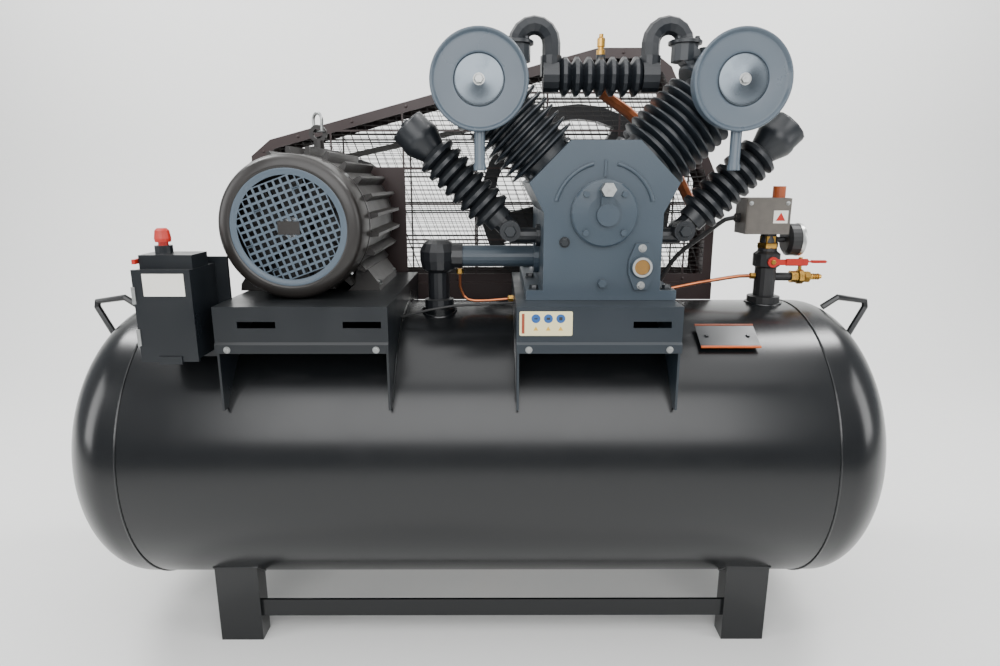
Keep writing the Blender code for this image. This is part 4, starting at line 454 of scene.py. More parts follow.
SLOT_FINISH = {
    "tank_paint": TANK_ENAMEL, "frame_paint": TANK_ENAMEL, "bracket_paint": BRACKET_ENAMEL,
    "box_paint": BRACKET_ENAMEL, "motor_paint": MOTOR_ENAMEL, "case_paint": CASE_ENAMEL,
    "cylinder_paint": BARREL_ENAMEL, "cooler_paint": COOLER_ENAMEL, "filter_paint": FILTER_PAINTED_HIGHLIGHT_ENAMEL,
    "wheel_paint": WHEEL_IRON, "guard_paint": GUARD_ENAMEL, "ground_steel": GROUND_STEEL,
    "piston_alloy": ALLOY, "plug_alloy": ZINC, "sight_alloy": CASE_ENAMEL, "valve_brass": BRASS,
    "pipe_copper": COPPER, "belt_rubber": BELT, "hose_rubber": SHEATH, "valve_iron": VALVE_IRON,
    "manifold_black": BLACK_PLASTIC, "black_plastic": BLACK_PLASTIC, "red_plastic": RED_PLASTIC,
    "knob_orange": ORANGE_KNOB,
}
# Nodes whose paint differs from the rest of their slot.
NODE_FINISH = {
    "discharge_pipe": CASE_ENAMEL, "pump_bracket": CASE_SHEET, "pressure_switch": SWITCH_PLASTIC,
}


# --------------------------------------------------------------- making meshes
def arc(radius: float, start: float, end: float, count: int) -> list[tuple[float, float]]:
    """Points on a circle about the origin.

    Args:
        radius: of the circle, in metres.
        start: first angle in degrees.
        end: last angle in degrees.
        count: how many steps lie between them.

    Returns:
        The points, both ends included.
    """
    turns = (math.radians(start + (end - start) * step / count) for step in range(count + 1))
    return [(radius * math.cos(turn), radius * math.sin(turn)) for turn in turns]


class Piece:
    """One new piece, built shape by shape in one mesh and then put on its body."""

    def __init__(self, name: str, lean: Matrix | None = None) -> None:
        """Start an empty mesh.

        Args:
            name: the piece's name.
            lean: moves everything that is added, such as a tilted cylinder bank.
        """
        self.name = name
        self.lean = lean or Matrix.Identity(4)
        self.bm = bmesh.new()

    def placed(self, at: Point, along: Point) -> Matrix:
        """A matrix that stands local Z at a point along a direction."""
        turn = Vector(along).to_track_quat("Z", "Y").to_matrix().to_4x4()
        return self.lean @ Matrix.Translation(Vector(at)) @ turn

    def bridge(self, low: list, high: list) -> None:
        """Join two rings of vertices; a ring of one vertex is a tip.

        Args:
            low: the first ring.
            high: the second ring.
        """
        count = max(len(low), len(high))
        for index in range(count):
            after = (index + 1) % count
            corners = [
                low[index % len(low)], low[after % len(low)], high[after % len(high)],
                high[index % len(high)],
            ]
            corners = list(dict.fromkeys(corners))
            if len(corners) > 2:
                self.bm.faces.new(corners)

    def lathe(
        self, profile: Iterable[Point], at: Point, along: Point = (0, 0, 1), steps: int = 48,
    ) -> "Piece":
        """Revolve (radius, height) points about an axis.

        Args:
            profile: the outline, ending where it starts for a ring.
            at: the axis's foot.
            along: the axis's direction.
            steps: sides of the round shape.

        Returns:
            This piece.
        """
        stand = self.placed(at, along)
        rings = []
        for radius, height in profile:
            count = 1 if radius < AXIS_TOUCH else steps
            turns = (2 * math.pi * index / steps for index in range(count))
            rings.append(
                [
                    self.bm.verts.new(
                        stand @ Vector((radius * math.cos(turn), radius * math.sin(turn), height)),
                    )
                    for turn in turns
                ]
            )
        for low, high in zip(rings, rings[1:]):
            self.bridge(low, high)
        return self

    def sweep(
        self, points: Iterable[Point], radius: float | Callable[[int], float], sides: int = 8,
        closed: bool = False,
    ) -> "Piece":
        """Draw a round section along a path.

        Args:
            points: the path.
            radius: of the section, or a function of the point's number.
            sides: of the section.
            closed: whether the path returns to its start.

        Returns:
            This piece.
        """
        line = [self.lean @ Vector(point) for point in points]
        last = len(line) - 1
        side = None
        rings = []
        for index, here in enumerate(line):
            before = line[index - 1] if closed or index else here
            after = line[(index + 1) % len(line)] if closed or index < last else here
            heading = (after - before).normalized()
            side = side or heading.orthogonal()
            side = (side - heading * side.dot(heading)).normalized()
            across = heading.cross(side)
            size = radius(index) if callable(radius) else radius
            rings.append(
                [self.bm.verts.new(here + side * x + across * y) for x, y in arc(size, 0, 360, sides)[:-1]]
            )
        for low, high in zip(rings, rings[1:] + (rings[:1] if closed else [])):
            self.bridge(low, high)
        if not closed:
            self.bm.faces.new(reversed(rings[0]))
            self.bm.faces.new(rings[-1])
        return self

    def block(self, low: Point, high: Point, round_off: float = 0.0) -> "Piece":
        """Add a box with rounded edges.

        Args:
            low: its lowest corner.
            high: its highest corner.
            round_off: width of the rounding, or zero for sharp edges.

        Returns:
            This piece.
        """
        low, high = Vector(low), Vector(high)
        size = Matrix.Diagonal((*(high - low), 1.0))
        made = bmesh.ops.create_cube(
            self.bm, size=1.0, matrix=self.lean @ Matrix.Translation((low + high) / 2) @ size,
        )
        if round_off:
            edges = list({edge for vert in made["verts"] for edge in vert.link_edges})
            bmesh.ops.bevel(self.bm, geom=edges, offset=round_off, segments=2, affect="EDGES")
        return self

    def plate(self, outline: Iterable[Point], thick: float, at: Point, along: Point = (0, -1, 0)) -> "Piece":
        """Add a flat plate.

        Args:
            outline: (x, y) points about the middle of the plate.
            thick: its thickness.
            at: the middle of its back face.
            along: the way that its face looks.

        Returns:
            This piece.
        """
        stand = self.placed(at, along)
        back = [self.bm.verts.new(stand @ Vector((x, y, 0))) for x, y in outline]
        front = [self.bm.verts.new(stand @ Vector((x, y, thick))) for x, y in outline]
        self.bridge(back, front)
        self.bm.faces.new(reversed(back))
        self.bm.faces.new(front)
        return self

    def bolt(self, at: Point, along: Point, across: float, height: float) -> "Piece":
        """Add a hexagon head on its washer.

        Args:
            at: centre of the seat.
            along: the way that the head stands out.
            across: radius over the head's corners.
            height: of the head.

        Returns:
            This piece.
        """
        washer = 0.2 * height
        ring = 1.25 * across
        self.lathe([(0, 0), (ring, 0), (ring, washer), (0, washer)], at, along, 24)
        top = washer + height
        head = [(0, washer), (across, washer), (across, 0.85 * top), (0.86 * across, top), (0, top)]
        return self.lathe(head, at, along, 6)

    def done(
        self, finish: Finish, slot: str, body: str = BODY, replaces: Sequence[str] = (), crease: float = 38.0,
    ) -> bpy.types.Object:
        """Close the mesh, shade it, finish it and put it on its body.

        Args:
            finish: the surface.
            slot: the record's material slot that it goes by; not used.
            body: the moving body that carries it.
            replaces: nodes that it stands for.
            crease: edges sharper than this, in degrees, stay sharp.

        Returns:
            The new object.
        """
        bmesh.ops.remove_doubles(self.bm, verts=self.bm.verts, dist=MERGE)
        bmesh.ops.recalc_face_normals(self.bm, faces=self.bm.faces)
        mesh = bpy.data.meshes.new(self.name)
        self.bm.to_mesh(mesh)
        self.bm.free()
        mesh.shade_smooth()
        mesh.set_sharp_from_angle(angle=math.radians(crease))
        mesh.materials.append(finish.material())
        made = bpy.data.objects.new(self.name, mesh)
        bpy.context.scene.collection.objects.link(made)
        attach(made, body)
        if replaces:
            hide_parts(*replaces)
        log.info("%s on %s, %d faces", self.name, body, len(mesh.polygons))
        return made


def joint_place(name: str) -> Vector:
    """Find a point on a hinge's axis.

    Args:
        name: the joint's name.

    Returns:
        The point that the record gives.
    """
    return Vector(next(joint["pos_m"] for joint in frame["joints"] if joint["name"] == name))


# -------------------------------------------------------------- sub-assemblies
@dataclass
class Receiver:
    """The air receiver's smooth plates, its welds, plate holder and drain."""

    wall: float = 6 * MM
    straight: float = 28 * MM
    steps: int = 144
    bead: float = 3.2 * MM
    ripple: float = 0.5 * MM
    leg_half: float = 44 * MM
    boss: float = 34 * MM

    def __post_init__(self) -> None:
        """Read the receiver's size from its nodes."""
        low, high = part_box("tank_shell")
        self.half = high.x
        self.radius = (high.y - low.y) / 2
        self.axis = low.z + self.radius
        self.boss_top = high.z
        self.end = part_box("tank_head_right")[1].x

    def height(self, y: float, under: bool = False) -> float:
        """Height of the shell's surface at a distance from its middle plane."""
        rise = math.sqrt(self.radius**2 - y**2)
        return self.axis - rise if under else self.axis + rise

    def weld(self, name: str, points: Sequence[Point], closed: bool = False, thick: float = 1.0) -> None:
        """Lay one rippled bead along a path.

        Args:
            name: the bead's name.
            points: its path.
            closed: whether it runs round.
            thick: its size, as a share of the usual bead.
        """
        size = self.bead * thick
        bead = Piece(name).sweep(points, lambda index: size + self.ripple * (index % 2), 8, closed)
        bead.done(TANK_ENAMEL, "tank_paint")

    def plates(self) -> None:
        """Shell and dished ends, rounder than the solids that they stand for."""
        inner = self.radius - self.wall
        length = 2 * self.half
        shell = Piece("receiver_shell_plate")
        ring = [(inner, 0), (self.radius, 0), (self.radius, length), (inner, length), (inner, 0)]
        shell.lathe(ring, (-self.half, 0, self.axis), (1, 0, 0), self.steps)
        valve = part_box("check_valve")
        foot = self.height(0) - 2 * self.wall
        spot = (valve[0].x + 38 * MM, (valve[0].y + valve[1].y) / 2, foot)
        top = self.boss_top - foot
        shell.lathe(
            [(0, 0), (self.boss, 0), (self.boss, top - 2 * MM), (self.boss - 2 * MM, top), (0, top)], spot,
            steps=48,
        )
        shell.done(TANK_ENAMEL, "tank_paint", replaces=("tank_shell",))
        dish = self.end - self.half - self.straight
        for side, word in ((-1, "left"), (1, "right")):
            outer = [(self.radius * c, self.straight + dish * s) for c, s in arc(1, 0, 90, 24)]
            inside = [(inner * c, self.straight + (dish - self.wall) * s) for c, s in arc(1, 90, 0, 12)]
            outline = [(inner, 0), (self.radius, 0), *outer, *inside, (inner, 0)]
            head = Piece(f"receiver_end_{word}").lathe(
                outline, (side * self.half, 0, self.axis), (side, 0, 0), self.steps,
            )
            head.done(TANK_ENAMEL, "tank_paint", replaces=(f"tank_head_{word}",))

    def welds(self) -> None:
        """Girth seams, the beads where the legs meet the shell, and the boss's fillet."""
        for side, word in ((-1, "left"), (1, "right")):
            ring = [(side * self.half, y, self.axis + z) for y, z in arc(self.radius, 0, 360, 240)[:-1]]
            self.weld(f"girth_weld_{word}", ring, closed=True, thick=0.62)
        for face, row in ((-1, "front"), (1, "rear")):
            low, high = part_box(f"leg_frame_{row}")
            web = low.y if face < 0 else high.y
            inside = high.y if face < 0 else low.y
            for word, middle in (("left", low.x + self.leg_half), ("right", high.x - self.leg_half)):
                flange = [web + (inside - web) * step / 10 for step in range(11)]
                path = [(middle - self.leg_half, y) for y in reversed(flange)]
                path += [(middle + self.leg_half * (step / 10 - 1), web) for step in range(1, 20)]
                path += [(middle + self.leg_half, y) for y in flange]
                self.weld(f"leg_weld_{row}_{word}", [(x, y, self.height(y, under=True)) for x, y in path])
        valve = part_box("check_valve")
        x, y = valve[0].x + 38 * MM, (valve[0].y + valve[1].y) / 2
        ring = [(x + dx, y + dy, self.height(y + dy)) for dx, dy in arc(self.boss, 0, 360, 60)[:-1]]
        self.weld("boss_weld", ring, closed=True)
        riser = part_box("air_manifold")
        x = (riser[0].x + riser[0].x + 68 * MM) / 2
        ring = [(x + dx, dy, self.height(dy)) for dx, dy in arc(36 * MM, 0, 360, 60)[:-1]]
        self.weld("riser_weld", ring, closed=True)

    def plate_holder(self) -> None:
        """Blank plate on two studs beside the pump, with orange edging above and below."""
        y = -158 * MM
        middle = Vector((486 * MM, y, self.height(y)))
        out = Vector((0, y, self.height(y) - self.axis)).normalized()
        down = Vector((0, -out.z, out.y))
        half_long, half_wide = 58 * MM, 30 * MM
        lift = 8 * MM
        outline = [(half_long * sx, half_wide * sy) for sx, sy in ((-1, -1), (1, -1), (1, 1), (-1, 1))]
        plate = Piece("holder_plate").plate(outline, 1.5 * MM, middle + out * lift, out)
        for side in (-0.7, 0.7):
            stud = middle + Vector((side * half_long, 0, 0))
            plate.lathe([(0, 0), (4 * MM, 0), (4 * MM, lift + MM), (0, lift + MM)], stud, out, 16)
            plate.bolt(stud + out * (lift + 1.5 * MM), out, 4.5 * MM, 2.5 * MM)
        plate.done(BRACKET_ENAMEL, "bracket_paint")
        for side, word, vinyl in ((-1, "upper", DARK_EDGE_VINYL), (1, "lower", EDGE_VINYL)):
            edging = Piece(f"holder_edging_{word}")
            rim = middle + out * (lift + 0.8 * MM) + down * (side * half_wide)
            ends = [rim + Vector((half_long * share, 0, 0)) for share in (-1, -0.5, 0, 0.5, 1)]
            edging.sweep(ends, 2.6 * MM, 12)
            edging.done(vinyl, "red_plastic")

    def build(self) -> None:
        """Make everything on the receiver."""
        self.plates()
        self.welds()
        self.plate_holder()


@dataclass
class Saddles:
    """Bolts, welds and the blank pictogram plate on the two folded brackets."""

    foot_bolt: float = 8 * MM
    sheet: float = 4 * MM
    pictogram: tuple[float, float] = (47 * MM, 22 * MM)

    def bolts(self) -> None:
        """Screws down into both saddles, at the motor's and the crankcase's feet."""
        low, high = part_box("motor_frame")
        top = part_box("motor_bracket")[1].z
        middle = joint_place("motor_spin").x
        motor = Piece("motor_foot_bolts")
        for side in (-1, 1):
            for y in (low.y + 45 * MM, high.y - 62 * MM):
                motor.bolt((middle + side * 133 * MM, y, top + 11 * MM), (0, 0, 1), self.foot_bolt, 7 * MM)
        motor.done(ZINC, "plug_alloy")
        case_low, case_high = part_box("crankcase")
        case = Piece("crankcase_foot_bolts")
        for x in (case_low.x + 15 * MM, case_high.x - 15 * MM):
            for y in (case_low.y + 30 * MM, -40 * MM, case_high.y - 25 * MM):
                case.bolt((x, y, top + 18.3 * MM), (0, 0, 1), self.foot_bolt, 7 * MM)
        case.done(BLACK_BOLT, "bracket_paint")
        skirt = Piece("skirt_screws")
        for name in ("motor_bracket", "pump_bracket"):
            low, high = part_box(name)
            face = low.y
            for x in (low.x + 22 * MM, high.x - 22 * MM):
                skirt.bolt((x, face, top - 77 * MM), (0, -1, 0), 5 * MM, 3.5 * MM)
        skirt.done(ZINC, "plug_alloy")

    def welds(self) -> None:
        """Beads where the end plates stand on the shell."""
        shell = Receiver()
        for name in ("motor_bracket", "pump_bracket"):
            low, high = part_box(name)
            for word, x in (("left", low.x + MM), ("right", high.x - MM)):
                rows = [-0.255 + 0.41 * step / 90 for step in range(91)]
                shell.weld(f"{name}_weld_{word}", [(x, y, shell.height(y)) for y in rows], thick=0.8)

    def pictogram_plate(self) -> None:
        """Cream plate with plain coloured marks and no words."""
        low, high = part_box("pump_bracket")
        face = low.y + self.sheet - 0.2 * MM
        middle = Vector((low.x + 52 * MM, face, high.z - 30 * MM))
        half_long, half_tall = self.pictogram
        corner = 3 * MM
        outline = []
        for turn in (5, 45, 85, 95, 135, 175, 185, 225, 265, 275, 315, 355):
            x, y = corner * math.cos(math.radians(turn)), corner * math.sin(math.radians(turn))
            across, up = math.copysign(half_long - corner, x), math.copysign(half_tall - corner, y)
            outline.append((x + across, y + up))
        Piece("pictogram_plate").plate(outline, 0.6 * MM, middle).done(CREAM_FILM, "bracket_paint")
        marks = Piece("pictogram_discs")
        ink = Piece("pictogram_inks")
        wedges = Piece("pictogram_wedges")
        bar = Piece("pictogram_bar")
        front = Vector((0, -0.6 * MM, 0))
        for index, x in enumerate((-18, 4, 26)):
            disc = middle + front + Vector((x * MM, 0, 9 * MM))
            marks.lathe([(0, 0), (8 * MM, 0), (8 * MM, 0.15 * MM), (0, 0.15 * MM)], disc, (0, -1, 0), 40)
            wedge = arc(5 * MM, 90, 450, 3)[:-1]
            wedges.plate(wedge, 0.15 * MM, middle + front + Vector((x * MM, 0, -10 * MM)))
            ink.block(
                disc + Vector((-3 * MM, -0.3 * MM, (-1 - index) * MM)),
                disc + Vector((3 * MM, -0.15 * MM, (1 + index) * MM)),
            )
        bar.block(
            middle + front + Vector((-43 * MM, -0.15 * MM, -18 * MM)),
            middle + front + Vector((-38 * MM, 0, 18 * MM)),
        )
        marks.done(BLUE_INK, "bracket_paint")
        ink.done(BLACK_INK, "bracket_paint")
        wedges.done(AMBER_INK, "bracket_paint")
        bar.done(RUST_INK, "bracket_paint")

    def build(self) -> None:
        """Make everything on the saddles."""
        self.bolts()
        self.welds()
        self.pictogram_plate()


@dataclass
class Motor:
    """Fan cowl with its perforated grille, cowl screws, rating plate and shackle."""

    wall: float = 2 * MM
    grille: float = 106 * MM
    holes_within: float = 96 * MM
    pitch: float = 13.5 * MM
    bar: float = 4.2 * MM
    tilt: float = math.radians(-20)
    plate_back: float = 3.2 * MM

    def __post_init__(self) -> None:
        """Read the cowl's size and the shaft's place."""
        self.low, self.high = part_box("motor_fan_cowl")
        self.radius = (self.high.x - self.low.x) / 2
        self.axis = joint_place("motor_spin")
        self.front = Vector((self.axis.x, self.low.y, self.axis.z))

    def cowl(self) -> None:
        """Spun skin with a rolled front lip round the grille."""
        r, wall, deep = self.radius, self.wall, self.high.y - self.low.y
        lip = self.grille
        outline = [
            (lip, 4 * MM), (lip, 1.5 * MM), (lip + 2 * MM, 0), (r - 20 * MM, 0), (r - 9 * MM, 2 * MM),
            (r - 3 * MM, 7 * MM), (r, 15 * MM), (r, deep - 6 * MM), (r + 1.2 * MM, deep - 5 * MM),
            (r + 1.2 * MM, deep), (r - wall, deep), (r - wall, 16 * MM), (r - 5 * MM, 9 * MM),
            (r - 11 * MM, 4 * MM), (lip, 4 * MM),
        ]
        skin = Piece("fan_cowl_skin").lathe(outline, self.front, (0, 1, 0), 128)
        skin.done(COWL_ENAMEL, "motor_paint", replaces=("motor_fan_cowl",))
        screws = Piece("cowl_screws")
        for turn in (45, 135, 225, 315):
            out = Vector((math.cos(math.radians(turn)), 0, math.sin(math.radians(turn))))
            screws.bolt(
                self.front + Vector((0, deep - 12 * MM, 0)) + out * (r - 0.2 * MM), out, 4.5 * MM, 3 * MM,
            )
        screws.done(ZINC, "plug_alloy")

    def perforated(self) -> None:
        """Dished grille plate: a plain rim and, inside it, square holes in slanting rows."""
        back = self.plate_back
        sheet = 1.6 * MM
        plate = Piece("fan_grille")
        r = self.grille - 0.3 * MM
        edge = self.holes_within
        rim = [
            (edge - 2 * MM, back), (edge + 3 * MM, back - 0.5 * MM), (r - 2 * MM, 1 * MM), (r, 1.4 * MM),
            (r, 1.4 * MM + sheet), (edge + 3 * MM, back + sheet), (edge - 2 * MM, back + sheet),
            (edge - 2 * MM, back),
        ]
        plate.lathe(rim, self.front, (0, 1, 0), 112)
        reach = int(edge / self.pitch) + 1
        gap = (self.pitch - self.bar) / 2
        turn = Matrix.Rotation(self.tilt, 3, "Y")
        for column in range(-reach, reach + 1):
            for row in range(-reach, reach + 1):
                x, z = column * self.pitch, row * self.pitch
                if math.hypot(x, z) > edge - 0.35 * self.pitch:
                    continue
                outer = [Vector((x + sx * self.pitch / 2, 0, z + sz * self.pitch / 2)) for sx, sz in CORNERS]
                inner = [Vector((x + sx * gap, 0, z + sz * gap)) for sx, sz in CORNERS]
                self.cell(plate, [turn @ v for v in outer], [turn @ v for v in inner], back, sheet)
        plate.done(GRILLE_PAINTED_HIGHLIGHT_ENAMEL, "motor_paint")

    def cell(self, plate: Piece, outer: list, inner: list, back: float, sheet: float) -> None:
        """Add one square hole with the bars round it.

        Args:
            plate: the piece.
            outer: corners of the cell about the shaft.
            inner: corners of the hole.
            back: depth of the sheet's face.
            sheet: its thickness.
        """
        rings = []
        for corners, depth in ((outer, back), (inner, back), (inner, back + sheet), (outer, back + sheet)):
            rings.append([plate.bm.verts.new(self.front + v + Vector((0, depth, 0))) for v in corners])
        for low, high in zip(rings, rings[1:] + rings[:1]):
            plate.bridge(low, high)

    def plates_and_shackle(self) -> None:
        """Blank rating plate in the middle of the grille, and the bow shackle on the lifting eye."""
        spot = self.front + Vector((0, self.plate_back, 0))
        outline = [(20 * MM * sx, 12 * MM * sy) for sx, sy in CORNERS]
        plate = Piece("grille_badge").plate(outline, 1.0 * MM, spot)
        plate.done(COWL_ENAMEL, "motor_paint")
        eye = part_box("motor_frame")[1].z - 18 * MM
        at = Vector((self.axis.x + 4 * MM, 10 * MM, eye + 5 * MM))
        shackle = Piece("lifting_shackle")
        bow = [at + Vector((x, y, z)) for x, y, z in (
            (0, -13 * MM, 0), (0, -13 * MM, 14 * MM),
            *((0, c, 22 * MM + s) for c, s in arc(14 * MM, 180, 0, 12)),
            (0, 13 * MM, 14 * MM), (0, 13 * MM, 0),
        )]
        lean = Matrix.Translation(at) @ Matrix.Rotation(math.radians(52), 4, "Z") @ Matrix.Translation(-at)
        shackle.sweep([lean @ point for point in bow], 3.2 * MM, 12)
        shackle.sweep([lean @ (at + Vector((0, y * MM, 0))) for y in (-19, -10, 0, 10, 19)], 2.6 * MM, 12)
        shackle.done(ZINC, "plug_alloy")

    def build(self) -> None:
        """Make everything on the motor."""
        self.cowl()
        self.perforated()
        self.plates_and_shackle()


@dataclass
class GuardMesh:
    """Woven wire over both faces of the belt guard, and the rivets that hold it."""

    row_pitch: float = 10.5 * MM
    column_pitch: float = 20 * MM
    slant: float = 0.36
    wire: float = 0.75 * MM
    rod: float = 2.0 * MM
    rod_pitch: float = 84 * MM
    margin: float = 10 * MM

    def outline(self) -> list[Vector]:
        """Wrap a hull round the front panel's own points above its beam.

        Returns:
            The corners as (x, z), anticlockwise.
        """
        panel = frame["nodes"]["belt_guard_front"].data
        beam_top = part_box("belt_guard_rear")[0].z - MM
        points = sorted({(round(v.co.x, 5), round(v.co.z, 5)) for v in panel.vertices if v.co.z > beam_top})
        hull: list[tuple[float, float]] = []
        for line in (points, points[::-1]):
            start = len(hull)
            for point in line:
                while len(hull) - start > 1 and self.turn(hull[-2], hull[-1], point) <= 0:
                    hull.pop()
                hull.append(point)
            hull.pop()
        return [Vector(corner) for corner in hull]

    @staticmethod
    def turn(a: Point, b: Point, c: Point) -> float:
        """Twice the signed area of a triangle."""
        return (b[0] - a[0]) * (c[1] - a[1]) - (b[1] - a[1]) * (c[0] - a[0])

    def clip(self, start: Vector, end: Vector, outline: list[Vector]) -> tuple[Vector, Vector] | None:
        """Cut a straight wire to the inside of the outline.

        Args:
            start: one end, as (x, z).
            end: the other end.
            outline: the panel's corners.

        Returns:
            The kept ends, or None where nothing is left.
        """
        first, last = 0.0, 1.0
        run = end - start
        for a, b in zip(outline, outline[1:] + outline[:1]):
            edge = (b - a).normalized()
            inward = Vector((-edge.y, edge.x))
            depth = inward.dot(start - a) - self.margin
            rate = inward.dot(run)
            if abs(rate) < AXIS_TOUCH:
                if depth < 0:
                    return None
                continue
            share = -depth / rate
            first, last = (max(first, share), last) if rate > 0 else (first, min(last, share))
        return (start + run * first, start + run * last) if last - first > 0.002 else None

    def outside(self, a: Vector, b: Vector, hole: tuple[Vector, float]) -> list[tuple[Vector, Vector]]:
        """Split a wire where it would cross a round hole.

        Args:
            a: one end of the wire.
            b: its other end.
            hole: the hole's centre and radius.

        Returns:
            The ends of each part that is left.
        """
        middle, radius = hole
        run = b - a
        nearest = max(0.0, min(1.0, (middle - a).dot(run) / run.length_squared))
        gap = (a + run * nearest - middle).length
        if gap >= radius:
            return [(a, b)]
        half = math.sqrt(radius**2 - gap**2) / run.length
        parts = [(0.0, nearest - half), (nearest + half, 1.0)]
        return [(a + run * s, a + run * e) for s, e in parts if e - s > 0.004]

    def layer(self, name: str, y: float, holes: list[tuple[Vector, float]]) -> None:
        """Weave one panel.

        Args:
            name: the panel's name.
            y: where it stands.
            holes: round openings as centre and radius.
        """
        outline = self.outline()
        low = Vector((min(v.x for v in outline), min(v.y for v in outline)))
        high = Vector((max(v.x for v in outline), max(v.y for v in outline)))
        tall = high.y - low.y
        wires = []
        for row in range(1, int(tall / self.row_pitch) + 1):
            z = low.y + row * self.row_pitch
            wires.append((Vector((low.x, z)), Vector((high.x, z)), self.wire, y))
        for column in range(int((high.x - low.x + self.slant * tall) / self.column_pitch) + 1):
            x = low.x + column * self.column_pitch
            wires.append(
                (Vector((x, low.y)), Vector((x - self.slant * tall, high.y)), self.wire, y + 1.3 * self.wire),
            )
        for row in range(1, int(tall / self.rod_pitch) + 1):
            z = low.y + row * self.rod_pitch
            wires.append((Vector((low.x, z)), Vector((high.x, z)), self.rod, y + 2.5 * self.rod))
        panel = Piece(name)
        for start, end, thick, depth in wires:
            kept = self.clip(start, end, outline)
            parts = [kept] if kept else []
            for hole in holes:
                parts = [piece for a, b in parts for piece in self.outside(a, b, hole)]
            for a, b in parts:
                panel.sweep([(a.x, depth, a.y), (b.x, depth, b.y)], thick, 6 if thick > self.wire else 5)
        panel.done(WIRE_ENAMEL, "guard_paint")

    def rivets(self) -> None:
        """Round heads along the front frame."""
        outline = self.outline()
        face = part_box("belt_guard_front")[0].y + 11 * MM
        heads = Piece("guard_rivets")
        dome = [(4 * c * MM, 2 * s * MM) for c, s in arc(1, 0, 90, 5)]
        for a, b in zip(outline, outline[1:] + outline[:1]):
            along = (b - a).normalized()
            inward = Vector((-along.y, along.x)) * self.margin
            count = max(1, int((b - a).length / (130 * MM)))
            for index in range(count):
                spot = a + (b - a) * ((index + 0.5) / count) + inward
                heads.lathe(dome, (spot.x, face, spot.y), (0, -1, 0), 16)
        heads.done(GUARD_ENAMEL, "guard_paint")

    def build(self) -> None:
        """Make both meshes and the rivets."""
        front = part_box("belt_guard_front")[1].y
        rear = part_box("belt_guard_rear")[1].y
        motor, crank = joint_place("motor_spin"), joint_place("crank_spin")
        holes = [(Vector((motor.x, motor.z)), 52 * MM), (Vector((crank.x, crank.z)), 58 * MM)]
        self.layer("guard_mesh_front", front + 1.6 * MM, holes)
        self.layer("guard_mesh_rear", rear - 14 * MM, [])
        self.rivets()


